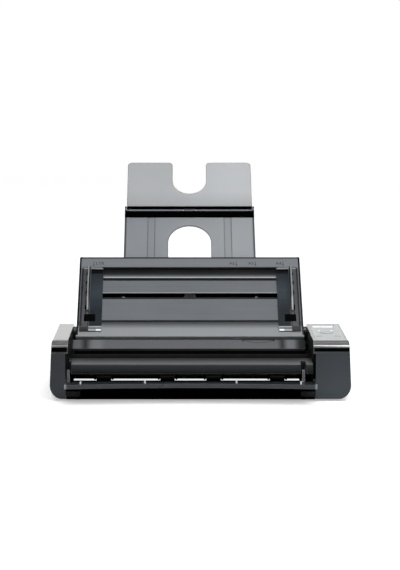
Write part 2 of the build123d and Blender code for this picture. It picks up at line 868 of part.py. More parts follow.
def pinch_rollers():
    """Four small rollers, each on its own stub shaft, that press the sheet on the exit tyres."""
    rollers = []
    end = exit_tyre_half + pinch_end_gap + holder_plate
    for side in (-1, 1):
        for x in exit_tyre_x:
            wheel = rod_x(exit_y, pinch_z, pinch_radius, side * x - exit_tyre_half, side * x + exit_tyre_half)
            rollers.append(wheel + rod_x(exit_y, pinch_z, pinch_shaft_radius, side * x - end, side * x + end))
    return together(rollers)


def flank_angle(teeth, module, radius):
    """Half the angle that a tooth fills at a radius, on an involute flank."""
    pitch_radius = module * teeth / 2
    base_radius = pitch_radius * math.cos(math.radians(pressure_angle))
    start = math.tan(math.radians(pressure_angle)) - math.radians(pressure_angle)
    here = math.acos(min(1.0, base_radius / radius))
    half = (math.pi / 2 - tooth_backlash / module / 2) / teeth
    return half + start - (math.tan(here) - here)


def gear_outline(teeth, module, bore, turn):
    """Spur gear outline with involute flanks. One tooth points along the angle turn, in radians."""
    pitch_radius = module * teeth / 2
    root = pitch_radius - tooth_root * module
    tip = pitch_radius + tooth_height * module
    points = []
    for number in range(teeth):
        middle = turn + 2 * math.pi * number / teeth
        radii = [root, pitch_radius, tip]
        angles = [-flank_angle(teeth, module, radius) for radius in radii]
        rising = list(zip(radii, angles))
        falling = [(radius, -angle) for radius, angle in reversed(rising)]
        for radius, angle in rising + falling:
            points.append((radius * math.cos(middle + angle), radius * math.sin(middle + angle)))
    return polygon(*points) - Circle(bore)


def idler_place():
    """Centre of the idler gear, in mesh with the feed gear and the exit gear."""
    to_feed = gear_module * (feed_teeth + idler_teeth) / 2
    to_exit = gear_module * (exit_teeth + idler_teeth) / 2
    span = math.hypot(feed_y - exit_y, feed_z - exit_z)
    along = (to_exit ** 2 - to_feed ** 2 + span ** 2) / (2 * span)
    rise = math.sqrt(to_exit ** 2 - along ** 2)
    unit_y = (feed_y - exit_y) / span
    unit_z = (feed_z - exit_z) / span
    return exit_y + unit_y * along - unit_z * rise, exit_z + unit_z * along + unit_y * rise


def motor_place():
    """Centre of the motor, whose pinion meshes with the idler from above."""
    y, z = idler_place()
    reach = gear_module * (pinion_teeth + idler_teeth) / 2
    angle = math.radians(motor_angle)
    return y + reach * math.cos(angle), z + reach * math.sin(angle)


def meshed_turn(teeth, place, other_teeth, other_place, other_turn):
    """Turn of a gear so that its gap faces the tooth of the gear that it meshes with."""
    towards = math.atan2(place[1] - other_place[1], place[0] - other_place[0])
    phase = (towards - other_turn) * other_teeth / (2 * math.pi)
    return towards + math.pi + (phase + 0.5) * 2 * math.pi / teeth


def gear(teeth, place, bore, turn):
    """A gear of the train, lying across X."""
    outline = Pos(*place) * gear_outline(teeth, gear_module, bore, turn)
    return prism_x(outline, gear_face_x, gear_face_x + gear_width)


def gear_train():
    """The idler and the three gears in mesh with it."""
    idler = idler_place()
    feed = (feed_y, feed_z)
    out = (exit_y, exit_z)
    motor = motor_place()
    feed_turn = meshed_turn(feed_teeth, feed, idler_teeth, idler, 0)
    exit_turn = meshed_turn(exit_teeth, out, idler_teeth, idler, 0)
    motor_turn = meshed_turn(pinion_teeth, motor, idler_teeth, idler, 0)
    return {"idler_gear": gear(idler_teeth, idler, idler_post_radius + running_gap, 0),
            "feed_gear": gear(feed_teeth, feed, feed_shaft_radius, feed_turn),
            "exit_gear": gear(exit_teeth, out, exit_shaft_radius, exit_turn),
            "motor_pinion": gear(pinion_teeth, motor, motor_shaft_radius, motor_turn)}


def gear_bracket():
    """Plate on three pillars that carries the motor, the idler's post and the feed shaft's end."""
    idler = idler_place()
    motor = motor_place()
    low = exit_z - bracket_below
    high = motor[1] + motor_radius + 1
    front = exit_y + bracket_ahead
    back = feed_y + bracket_behind
    step_z = feed_z + 3 * pillar_inset
    step_y = motor[0] + motor_radius + 2
    outline = polygon((front, low), (back, low), (back, step_z), (step_y, high), (front, high))
    plate = prism_x(outline, gear_plate_x, gear_plate_x + gear_plate)
    plate -= rod_x(feed_y, feed_z, feed_shaft_radius + running_gap, gear_plate_x - 1, gear_plate_x + 5)
    plate -= rod_x(motor[0], motor[1], motor_shaft_radius + 1, gear_plate_x - 1, gear_plate_x + 5)
    plate += rod_x(idler[0], idler[1], idler_post_radius, gear_face_x - 0.5, gear_plate_x)
    start = throat_half + frame_plate
    pillars = [(front + 2 * pillar_inset, high - pillar_inset)]
    pillars += [(back - pillar_inset, low + pillar_inset), (back - pillar_inset, step_z - pillar_inset)]
    for y, z in pillars:
        plate += rod_x(y, z, pillar_radius, start, gear_plate_x)
    return plate


def drive_motor():
    """Round motor can with its front boss."""
    y, z = motor_place()
    start = gear_plate_x + gear_plate
    motor = rod_x(y, z, motor_radius, start, start + motor_length)
    motor += rod_x(y, z, motor_radius / 3, start + motor_length, start + motor_length + motor_boss)
    return motor - rod_x(y, z, motor_shaft_radius + running_gap, start - 1, start + 6)


def motor_shaft():
    """Steel shaft from the motor through its pinion."""
    y, z = motor_place()
    return rod_x(y, z, motor_shaft_radius, gear_face_x, gear_plate_x + gear_plate + 5)


# Board, socket and control panel
def main_board():
    """Circuit board under the control panel, with its tact switches."""
    board = block(board_left, board_right, board_front, board_back, board_z, board_z + board_thickness)
    top = board_z + board_thickness
    for x, y, _ in key_places():
        board += block(x - switch_size / 2, x + switch_size / 2, y - switch_size / 2, y + switch_size / 2,
                       top, top + switch_height)
    return board


def display_module():
    """Liquid crystal module that stands on the board behind the window."""
    frame = 2 * display_frame
    return block(display_left + frame, display_right - frame, display_front + frame, display_back - frame,
                 board_z + board_thickness, body_height - panel_thickness - 0.1)


def usb_socket():
    """Pressed metal socket at the back edge of the board."""
    high = board_z
    low = high - usb_height
    back = body_depth - part_gap
    shell = block(usb_x - usb_width / 2, usb_x + usb_width / 2, back - usb_depth, back, low, high)
    wall = usb_wall
    mouth = block(usb_x - usb_width / 2 + wall, usb_x + usb_width / 2 - wall, back - usb_depth + wall, back + 1,
                  low + wall, high - wall)
    tongue_low = (low + high) / 2 - wall
    tongue = block(usb_x - usb_tongue_half, usb_x + usb_tongue_half, back - usb_depth, back - 1, tongue_low,
                   tongue_low + 2 * wall)
    return shell - mouth + tongue


def control_panel():
    """Thin panel set flush in the top of the right cap."""
    seat = body_height - panel_thickness
    panel = plate_z(panel_outline(0), seat, body_height)
    panel -= plate_z(display_outline(panel_gap), seat - 1, body_height + 1)
    for x, y, radius in key_places():
        panel -= rod_z(x, y, radius + key_gap, seat - 1, body_height + 1)
    for x, y in light_places():
        panel -= rod_z(x, y, light_radius + 0.1, seat - 1, body_height + 1)
    return panel


def display_window():
    """Clear window flush with the control panel."""
    return plate_z(display_outline(0), body_height - panel_thickness, body_height)


def status_lights():
    """Two small light guides that stand on the board."""
    low = board_z + board_thickness
    return together([rod_z(x, y, light_radius, low, body_height) for x, y in light_places()])


def key(x, y, radius):
    """A push key: cap, flange that keeps it in its hole, and stem over its switch."""
    top = body_height + key_proud
    flange_top = cap_top_inside - key_gap
    stem_low = board_z + board_thickness + switch_height + key_travel + 0.1
    body = rod_z(x, y, radius, flange_top - key_flange_plate, top)
    body = fillet(body.edges().group_by(Axis.Z)[-1], key_edge)
    body += rod_z(x, y, radius + key_gap + key_flange, flange_top - key_flange_plate, flange_top)
    return body + rod_z(x, y, key_stem_radius, stem_low, flange_top - key_flange_plate)


# Cover: outer shell and the tray face inside it
def cover_outline(inset):
    """Outline of the cover in (x, u)."""
    half = cover_half_width - inset
    outline = polygon((-half, inset), (half, inset), (half, cover_length), (-half, cover_length))
    for x in (-half, half):
        outline = round_corner(outline, (x, cover_length), cover_corner_radius)
    return outline


def rest_rail():
    """Rail on the shell that carries the right-hand edge of the sliding panel, drawn in (x, w)."""
    edge = rest_half_width + part_gap
    inner = edge - rail_wall
    seat = rest_face_w - rest_panel - fit_gap
    floor = -cover_depth + cover_wall
    high = rest_face_w + part_gap
    outline = polygon((inner, floor), (edge + rail_wall, floor), (edge + rail_wall, high), (edge, high),
                      (edge, seat), (inner, seat))
    return extrude(Plane.XZ.offset(-rail_low_u) * outline, amount=-(rest_low_u - 1 - rail_low_u))


def cover_section(inset):
    """Cross-section of the cover in (x, w), open on the tray side."""
    half = cover_half_width - inset
    low = -cover_depth + inset
    high = part_gap + inset
    outline = polygon((-half, low), (half, low), (half, high), (-half, high))
    for x in (-half, half):
        outline = round_corner(outline, (x, low), cover_edge_radius - inset / 2)
    return outline


def cover_form(inset):
    """Rounded block of the cover, drawn in by an inset on all sides but the open one."""
    length = extrude(Plane.XZ.offset(-inset) * cover_section(inset), amount=-cover_length)
    return length & plate_z(cover_outline(inset), -cover_depth, part_gap + inset)


def cover_shell():
    """Outer half of the cover, open at its upper end for the paper rest, with hinge bosses."""
    shell = cover_form(0) - cover_form(cover_wall)
    top_wall = cover_length - cover_wall
    half = rest_half_width + part_gap
    for side in (-1, 1):
        x_from, x_to = sorted((side * (half + 1), side * (cover_half_width - cover_wall / 2)))
        shell += block(x_from, x_to, top_wall, cover_length, -cover_depth, -cover_skin - 0.1)
    shell -= block(-half, half, cover_length - recess_length, cover_length + 1, -cover_depth - 1, 0)
    boss_end = throat_half - part_gap
    start = cover_half_width - hinge_boss_length
    boss = rod_x(hinge_u, hinge_w, hinge_boss_radius, start, boss_end)
    bore = rod_x(hinge_u, hinge_w, hinge_pin_radius + running_gap, start - 1, throat_half)
    rail = rest_rail()
    for flip in (False, True):
        shell += mirror_x(boss) if flip else boss
        shell += mirror_x(rail) if flip else rail
        shell -= mirror_x(bore) if flip else bore
    return on_tray(shell)


def cover_tray():
    """Face of the tray: upper band, concave trough, guide slot, seams and lower ramp."""
    half = cover_half_width - cover_wall - 0.1
    skin = prism_x(tray_section(), -half, half)
    skin_end = trough_high_u + trough_skin
    for side in (-1, 1):
        x_from, x_to = sorted((side * tray_field_half, side * (half + 1)))
        skin -= block(x_from, x_to, trough_low_u - 3, skin_end + 0.01, -5, -cover_skin)
        skin += block(*sorted((side * tray_field_half, side * half)), trough_low_u - 1, skin_end, -cover_skin, 0)
    skin = skin & plate_z(cover_outline(cover_wall + 0.1), -trough_depth - 2 * trough_skin, ramp_rise + 1)
    skin += tray_foot()
    skin -= block(-guide_face, guide_face, guide_slot_low_u, guide_slot_high_u, -4, 1)
    for low, width in ((seam_u, seam_width), (trough_low_u - trough_seam_width, trough_seam_width)):
        skin -= block(-tray_field_half, tray_field_half, low, low + width, -seam_depth, 1)
    for side in (-1, 1):
        skin += rod_z(side * detent_x, guide_slot_low_u, detent_radius, -cover_skin, 0)
    strut_half = 4.0
    skin += block(-strut_half, strut_half, guide_slot_low_u - 1, guide_slot_high_u + 1, -cover_skin, -0.7)
    post_low = rack_layer_top - rack_layer_depth - fit_gap
    skin += rod_z(0, pinion_u, pinion_post_radius, post_low, -1.0)
    return on_tray(skin)


def tray_section():
    """Section of the tray face in (u, w), from the ramp to the upper band."""
    low = cover_wall + 0.1
    low_w = ramp_rise * (1 - low / ramp_length)
    skin_end = trough_high_u + trough_skin
    trough_back = -trough_depth - trough_skin
    face = Polyline((low, low_w), (ramp_length, 0), (trough_low_u, 0))
    bend = ((trough_low_u + trough_high_u) / 2 + 1.5, -trough_depth * 0.8)
    face += ThreePointArc((trough_low_u, 0), bend, (trough_high_u, -trough_depth))
    face += Polyline((trough_high_u, -trough_depth), (trough_high_u, 0), (cover_length, 0),
                     (cover_length, -cover_skin), (skin_end, -cover_skin), (skin_end, trough_back),
                     (trough_high_u - 4, trough_back), (trough_low_u - 1, -cover_skin), (ramp_length, -cover_skin),
                     (low, low_w - cover_skin), (low, low_w))
    return make_face(face)


def tray_foot():
    """Lower edge of the ramp, which laps over the shell's lower wall."""
    slope = ramp_rise / ramp_length
    inner = cover_wall + 0.5
    low_w = part_gap + 0.1
    outline = polygon((0, low_w), (0, ramp_rise), (inner, ramp_rise - slope * inner), (inner, low_w))
    outline = round_corner(outline, (0, ramp_rise), 0.8)
    return prism_x(outline, -cover_half_width, cover_half_width)


# Side guides
def guide_outline(x_from, x_to):
    """Plan of the guide between two widths, in (x, u), with rounded upper corners."""
    x_middle = (guide_plate_inner + guide_plate_outer) / 2
    length = guide_high_u - guide_plate_low_u
    plan = Pos(x_middle, guide_plate_low_u + length / 2) * Rectangle(guide_width, length)
    for x in (guide_plate_inner, guide_plate_outer):
        plan = round_corner(plan, (x, guide_high_u), 2.5)
    middle = (x_from + x_to) / 2
    return plan & (Pos(middle, guide_high_u / 2) * Rectangle(x_to - x_from, 2 * guide_high_u))


def guide_pad_form(rise):
    """The pad that sits in the guide's pocket, or the pocket itself when raised."""
    x_to = guide_plate_outer - guide_pad_inset
    high = guide_pad_low_u + guide_pad_length
    return block(x_to - guide_pad_width, x_to, guide_pad_low_u, high, fit_gap + guide_pad_floor, rise)


def on_side(shape, side):
    """A right-hand guide piece on its side of the tray."""
    return on_tray(shape if side > 0 else mirror_x(shape))


def side_guide(side):
    """Frame of a guide: outer plate, end bar, fence, rim and the tip that climbs the ramp."""
    high_w = fit_gap + guide_plate
    plan = guide_outline(guide_plate_inner, guide_plate_outer)
    wing_high = guide_high_u - guide_end_bar
    plan -= Pos(guide_wing_outer - guide_width, wing_high - guide_high_u) * Rectangle(
        2 * guide_width, 2 * guide_high_u, align=(Align.CENTER, Align.CENTER))
    guide = plate_z(plan, fit_gap, high_w)
    guide += guide_tip()
    fence_top = fit_gap + guide_fence_height
    fence_end = guide_high_u - 1.5
    fence = polygon((guide_fence_low_u, fit_gap), (fence_end, fit_gap), (fence_end, fence_top),
                    (guide_fence_low_u + guide_fence_taper, fence_top),
                    (guide_fence_low_u, fence_top - guide_fence_drop))
    fence = round_corner(fence, (fence_end, fence_top), 2.0)
    guide += prism_x(fence, guide_face, guide_face + guide_fence_wall)
    rim = guide_plate_outer - guide_rim
    rim_top = high_w + guide_rim_rise
    guide += block(rim, guide_plate_outer, guide_plate_low_u, guide_high_u - 2.5, high_w, rim_top)
    guide += block(guide_plate_inner + 2.5, guide_plate_outer - 2.5, guide_high_u - guide_rim, guide_high_u,
                   high_w, rim_top)
    return on_side(guide - guide_pad_form(rim_top), side)


def guide_wing(side):
    """Dark plate that carries the sheet's edge, with the neck and the rack below it."""
    wing_high = guide_high_u - guide_end_bar - guide_end_gap
    wing = block(guide_plate_inner, guide_wing_outer, guide_plate_low_u, wing_high, fit_gap, fit_gap + guide_plate)
    wing -= guide_pad_form(fit_gap + 2 * guide_plate)
    wing += guide_neck()
    if side < 0:
        return on_tray(mirror_x(wing) + rack_arm())
    return on_tray(wing + Pos(0, pinion_u, 0) * Rot(0, 0, 180) * Pos(0, -pinion_u, 0) * rack_arm())


def guide_pad(side):
    """Soft pad in the guide's pocket, a little below its face."""
    return on_side(guide_pad_form(fit_gap + guide_plate - 0.2), side)


def guide_tip():
    """Lower end of the guide, which climbs the tray's ramp."""
    slope = ramp_rise / ramp_length
    rise = slope * (ramp_length - guide_low_u)
    step_u = guide_low_u + 5.0
    step_w = fit_gap + guide_plate + slope * (ramp_length - step_u) + 0.9
    outline = polygon((guide_plate_low_u, fit_gap), (guide_plate_low_u, fit_gap + guide_plate), (step_u, step_w),
                      (guide_low_u, rise + fit_gap + 1.0), (guide_low_u, rise + fit_gap), (ramp_length, fit_gap))
    return prism_x(outline, guide_plate_inner, guide_plate_outer)


def guide_neck():
    """Neck that joins the guide to its rack through the slot, clear of the detents."""
    low = guide_slot_low_u + detent_radius + guide_neck_gap
    high = guide_slot_high_u - 4 * guide_neck_gap
    x_from = guide_plate_inner + 1.5
    return block(x_from, guide_wing_outer, low, high, rack_layer_top - rack_layer_depth, fit_gap + 0.1)


def rack_arm():
    """Left guide's toothed arm, which runs below the pinion. The right one is the same, turned round."""
    pitch_line = pinion_u - pinion_radius
    pitch = math.pi * rack_module
    root = pitch_line - tooth_root * rack_module
    tip = pitch_line + tooth_height * rack_module
    low = root - rack_back
    end = rack_end
    start = -guide_wing_outer
    lean = math.tan(math.radians(pressure_angle))
    half = pitch / 4 - tooth_backlash / 2
    teeth = int((end + guide_travel + 4) / pitch)
    points = [(end, low), (end, root)]
    for number in range(teeth + 1):
        middle = (0.5 - number) * pitch + 2 * pitch
        if middle + half + 1 > end:
            continue
        points.append((middle + half + lean * (pitch_line - root), root))
        points.append((middle + half - lean * (tip - pitch_line), tip))
        points.append((middle - half + lean * (tip - pitch_line), tip))
        points.append((middle - half - lean * (pitch_line - root), root))
    points += [(start, root), (start, low)]
    arm = plate_z(polygon(*points), rack_layer_top - rack_layer_depth, rack_layer_top)
    web_high = guide_slot_high_u - 4 * guide_neck_gap
    web_end = -(guide_plate_inner + 1.5)
    return arm + block(start, web_end, low, web_high, rack_layer_top - rack_layer_depth, rack_layer_top)


def guide_pinion():
    """Pinion between the two racks."""
    outline = gear_outline(rack_pinion_teeth, rack_module, pinion_post_radius + running_gap, math.pi / 2)
    low = rack_layer_top - rack_layer_depth
    return on_tray(Pos(0, pinion_u, 0) * plate_z(outline, low, rack_layer_top))


# Paper rest
def lower_rest_panel():
    """Sliding panel with an arched opening, two shallow channels and lowered edges."""
    back = rest_face_w - rest_panel
    high = beam_low_u + beam_overlap
    outline = polygon((-rest_half_width, rest_low_u), (rest_half_width, rest_low_u), (rest_half_width, high),
                      (-rest_half_width, high))
    arch = polygon((-arch_half_width, arch_low_u), (arch_half_width, arch_low_u),
                   (arch_half_width, arch_centre_u), (-arch_half_width, arch_centre_u))
    for x in (-arch_half_width, arch_half_width):
        arch = round_corner(arch, (x, arch_low_u), arch_corner_radius)
    arch += Pos(0, arch_centre_u) * Circle(arch_half_width)
    panel = plate_z(outline - arch, back, rest_face_w)
    for side in (-1, 1):
        groove = sorted((side * rest_channel_inner, side * rest_channel_outer))
        panel -= block(*groove, rest_low_u - 1, high + 1, rest_face_w - rest_channel_depth, 0)
        edge = sorted((side * (rest_half_width - rest_edge_step), side * (rest_half_width + 1)))
        panel -= block(*edge, rest_low_u - 1, high + 1, rest_face_w - rest_edge_drop, 0)
    return on_tray(panel)


def lower_hinge_beam():
    """Dark beam across the top of the sliding panel, with the outer and middle knuckles."""
    high = fold_u - knuckle_radius - beam_gap
    back = rest_face_w - rest_panel
    beam = block(-rest_half_width, rest_half_width, beam_low_u, high, rest_face_w, beam_face_w)
    beam += block(-rest_half_width, rest_half_width, beam_low_u + beam_overlap, high, back, rest_face_w)
    ends = [(-rest_half_width, -rest_half_width + knuckle_end_length),
            (-knuckle_end_length, knuckle_end_length),
            (rest_half_width - knuckle_end_length, rest_half_width)]
    pin_room = rod_x(fold_u, fold_w, fold_pin_radius + running_gap, -rest_half_width - 1, rest_half_width + 1)
    for x_from, x_to in ends:
        web = block(x_from, x_to, high - 1, fold_u, back, fold_w + knuckle_radius)
        beam += web + rod_x(fold_u, fold_w, knuckle_radius, x_from, x_to)
    ear = block(upper_half_width + part_gap, rest_half_width, high - 1, fold_u + hinge_ear_rise, back, beam_face_w)
    return on_tray(beam + ear + mirror_x(ear) - pin_room)


def fold_pin():
    """Steel pin through the knuckles."""
    return on_tray(rod_x(fold_u, fold_w, fold_pin_radius, -rest_half_width, rest_half_width))


def upper_hinge_beam():
    """Slim dark beam under the folding panel, with the knuckles between the outer and middle ones."""
    low = upper_low_u
    high = low + upper_beam_length
    back = rest_face_w - rest_panel
    beam = block(-upper_half_width, upper_half_width, low, high, rest_face_w, beam_face_w)
    pin_room = rod_x(fold_u, fold_w, fold_pin_radius + running_gap, -rest_half_width - 1, rest_half_width + 1)
    inner = knuckle_end_length + part_gap
    outer = rest_half_width - knuckle_end_length - part_gap
    for x_from, x_to in ((-outer, -inner), (inner, outer)):
        beam += block(x_from, x_to, fold_u, low + 0.6, rest_face_w - 1.0, fold_w + knuckle_radius)
        beam += rod_x(fold_u, fold_w, knuckle_radius, x_from, x_to)
    beam -= block(-upper_half_width, upper_half_width, low, high + 1, back, rest_face_w)
    return on_tray(beam - pin_room)


def upper_rest_panel():
    """Folding panel with a U-shaped notch in its upper edge."""
    back = rest_face_w - rest_panel
    half = upper_half_width
    outline = polygon((-half, upper_low_u), (half, upper_low_u), (half, upper_top_u), (-half, upper_top_u))
    notch = polygon((-notch_half_width, notch_centre_u), (notch_half_width, notch_centre_u),
                    (notch_half_width, upper_top_u + 1), (-notch_half_width, upper_top_u + 1))
    notch += Pos(0, notch_centre_u) * Circle(notch_half_width)
    outline -= notch
    for x in (-half, -notch_half_width, notch_half_width, half):
        outline = round_corner(outline, (x, upper_top_u), upper_corner_radius)
    return on_tray(plate_z(outline, back, rest_face_w))


# Visor
def visor_plan(inset):
    """Plan view of the flap in (x, y), drawn in from its bowed front edge by an inset."""
    half = visor_half_width
    front = visor_axis_y - visor_reach + inset
    rear = visor_axis_y - visor_rear
    edge = Polyline((half, front), (half, rear), (-half, rear), (-half, front))
    bow = ThreePointArc((-half, front), (0, front + visor_bow), (half, front))
    return make_face(edge + bow)


def visor():
    """Front flap with a bowed lip, side rims, nubs and the right hinge pin."""
    front = visor_axis_y - visor_reach
    half = visor_half_width
    low = visor_axis_z - visor_plate_drop
    high = low + visor_plate
    flap = plate_z(visor_plan(0), low, high)
    flap += plate_z(visor_plan(0) - visor_plan(visor_lip), low, visor_axis_z + visor_lip_rise)
    for side in (-1, 1):
        rim = sorted((side * (half - visor_lip), side * half))
        flap += block(*rim, front + 0.5, visor_axis_y - 4.5, high - 0.5, visor_axis_z + visor_rim_rise)
        for x in visor_nub_x:
            flap += visor_nub(side * x, front + visor_bow * (1 - (x / half) ** 2))
    right_lug = half - visor_lug_width
    flap += visor_lug(right_lug, half)
    pin_end = rebate_half + frame_plate - part_gap
    flap += rod_x(visor_axis_y, visor_axis_z, visor_pin_radius, right_lug, pin_end)
    return flap - visor_arm(visor_left_arm) - visor_arm(visor_right_arm)


def visor_nub(x, bow_y):
    """Small stop on the flap behind its lip."""
    low = visor_axis_z - visor_plate_drop + visor_plate - 0.5
    half = visor_nub_width / 2
    return block(x - half, x + half, bow_y + 0.6, bow_y + visor_nub_length, low, visor_axis_z + visor_nub_rise)


def visor_lug(x_from, x_to):
    """Round ear about the visor's axis, joined to the flap."""
    low = visor_axis_z - visor_plate_drop
    lug = rod_x(visor_axis_y, visor_axis_z, visor_lug_radius, x_from, x_to)
    return lug + block(x_from, x_to, visor_axis_y - 4, visor_axis_y, low, low + visor_plate + 0.6)


def visor_arm(start):
    """Upright arm that swings back into the gap beside the front bar as the visor closes."""
    end = start + visor_arm_plate
    front = visor_axis_y - visor_arm_width + 0.5
    back = visor_axis_y + 0.5
    high = visor_axis_z + visor_arm_height
    outline = polygon((front, visor_axis_z - 1), (back, visor_axis_z), (back, high), (front + 1.2, high))
    outline = round_corner(outline, (back, high), visor_arm_round)
    return prism_x(outline, start, end) + visor_lug(start, end)


def visor_arms():
    """The two arms, the left one with its hinge pin."""
    pin_end = rebate_half + frame_plate - part_gap
    left = visor_arm(visor_left_arm)
    left += rod_x(visor_axis_y, visor_axis_z, visor_pin_radius, -pin_end, visor_left_arm + 1)
    return together([left, visor_arm(visor_right_arm)])


def build_parts():
    """Every piece of the scanner by name, in building axes."""
    parts = {
        "base_housing": base_housing(),
        "rubber_feet": rubber_feet(),
        "left_end_cap": mirror_x(plain_cap(left_cap_width)),
        "right_end_cap": right_end_cap(),
        "left_side_frame": mirror_x(side_frame(left_cap_width)),
        "right_side_frame": side_frame(right_cap_width),
        "roller_bushes": roller_bushes(),
        "cover_hinge_pins": cover_hinge_pins(),
        "rear_cover": rear_cover(),
        "lower_paper_guide": lower_paper_guide(),
        "white_strip": white_strip(),
        "front_bar": front_bar(),
        "pinch_holders": pinch_holders(),
        "feed_bridge": feed_bridge(),
        "separation_pad": separation_pad(),
        "scan_bar": scan_bar(),
        "scan_glass": scan_glass(),
        "feed_shaft": shaft(feed_y, feed_z, feed_shaft_radius, gear_plate_x + gear_plate),
        "feed_tyres": feed_tyres(),
        "exit_shaft": shaft(exit_y, exit_z, exit_shaft_radius, gear_face_x + gear_width),
        "exit_tyres": exit_tyres(),
        "pinch_rollers": pinch_rollers(),
        "gear_bracket": gear_bracket(),
        "drive_motor": drive_motor(),
        "motor_shaft": motor_shaft(),
        "main_board": main_board(),
        "display_module": display_module(),
        "usb_socket": usb_socket(),
        "control_panel": control_panel(),
        "display_window": display_window(),
        "status_lights": status_lights(),
        "cover_shell": cover_shell(),
        "cover_tray": cover_tray(),
        "left_guide": side_guide(-1),
        "right_guide": side_guide(1),
        "left_guide_wing": guide_wing(-1),
        "right_guide_wing": guide_wing(1),
        "left_guide_pad": guide_pad(-1),
        "right_guide_pad": guide_pad(1),
        "guide_pinion": guide_pinion(),
        "lower_rest_panel": lower_rest_panel(),
        "lower_hinge_beam": lower_hinge_beam(),
        "fold_pin": fold_pin(),
        "upper_hinge_beam": upper_hinge_beam(),
        "upper_rest_panel": upper_rest_panel(),
        "visor": visor(),
        "visor_arms": visor_arms(),
    }
    parts.update(gear_train())
    for name, place in zip(("scan_key", "mode_key", "power_key"), key_places()):
        parts[name] = key(*place)
    return parts


def whole_box(parts):
    """Box round all the pieces."""
    boxes = [shape.bounding_box() for shape in parts.values()]
    low = [min(getattr(box.min, axis) for box in boxes) for axis in "XYZ"]
    high = [max(getattr(box.max, axis) for box in boxes) for axis in "XYZ"]
    return low, high


parts = build_parts()
box_low, box_high = whole_box(parts)
origin_x = (box_low[0] + box_high[0]) / 2
origin_y = (box_low[1] + box_high[1]) / 2
shift = Pos(-origin_x, -origin_y, -box_low[2])

os.makedirs("parts", exist_ok=True)
for name, shape in parts.items():
    export_step(shift * shape, f"parts/{name}.step")
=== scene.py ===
import math

import bmesh
import bpy
from mathutils import Matrix, Vector


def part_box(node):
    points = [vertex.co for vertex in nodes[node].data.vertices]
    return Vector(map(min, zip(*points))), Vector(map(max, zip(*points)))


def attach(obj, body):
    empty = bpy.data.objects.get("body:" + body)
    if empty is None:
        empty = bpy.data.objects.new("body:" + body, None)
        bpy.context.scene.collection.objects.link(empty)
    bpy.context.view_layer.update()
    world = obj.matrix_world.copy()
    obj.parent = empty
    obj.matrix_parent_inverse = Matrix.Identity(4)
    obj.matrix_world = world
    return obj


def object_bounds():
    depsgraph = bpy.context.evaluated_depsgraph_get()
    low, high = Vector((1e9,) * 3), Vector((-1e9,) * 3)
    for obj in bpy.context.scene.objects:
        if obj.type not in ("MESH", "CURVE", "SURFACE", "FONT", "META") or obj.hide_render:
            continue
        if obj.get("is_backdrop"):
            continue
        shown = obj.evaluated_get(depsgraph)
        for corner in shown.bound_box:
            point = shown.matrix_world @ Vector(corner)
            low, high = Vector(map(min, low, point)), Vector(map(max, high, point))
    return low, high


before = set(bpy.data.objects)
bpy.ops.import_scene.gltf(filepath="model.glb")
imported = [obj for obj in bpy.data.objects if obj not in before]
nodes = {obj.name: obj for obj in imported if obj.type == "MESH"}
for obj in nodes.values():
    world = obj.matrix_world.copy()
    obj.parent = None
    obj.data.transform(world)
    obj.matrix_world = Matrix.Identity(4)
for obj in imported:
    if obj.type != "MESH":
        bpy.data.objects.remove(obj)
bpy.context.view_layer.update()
MM = 0.001

# Building axes of the part: X from the paper's middle, Y from the front faces of the end caps
paper_x = (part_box("left_side_frame")[1].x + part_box("right_side_frame")[0].x) / 2
cap_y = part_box("right_end_cap")[0].y
cap_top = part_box("right_end_cap")[1].z
TRAY_TILT = math.radians(44)
TRAY_FOOT_Y, TRAY_FOOT_Z = 78.0, 52.0
RUN, RISE = math.cos(TRAY_TILT), math.sin(TRAY_TILT)

ACROSS = Vector((1, 0, 0))
BACK = Vector((0, 1, 0))
UP = Vector((0, 0, 1))
TRAY_UP = Vector((0, RUN, RISE))
TRAY_OUT = Vector((0, -RISE, RUN))


def place(x, y, z):
    """A point in building millimetres as a point of the row frame in metres."""
    return Vector((paper_x + x * MM, cap_y + y * MM, z * MM))


def tray_place(x, u, w):
    """A point given across, up along and out of the tray's face."""
    return place(x, TRAY_FOOT_Y + RUN * u - RISE * w, TRAY_FOOT_Z + RISE * u + RUN * w)


# Axes that the masks of the materials run along, by a letter
AXES = {
    "x": (ACROSS, lambda at: place(at, 0, 0)),
    "y": (BACK, lambda at: place(0, at, 0)),
    "z": (UP, lambda at: place(0, 0, at)),
    "u": (TRAY_UP, lambda at: tray_place(0, at, 0)),
    "w": (TRAY_OUT, lambda at: tray_place(0, 0, at)),
}


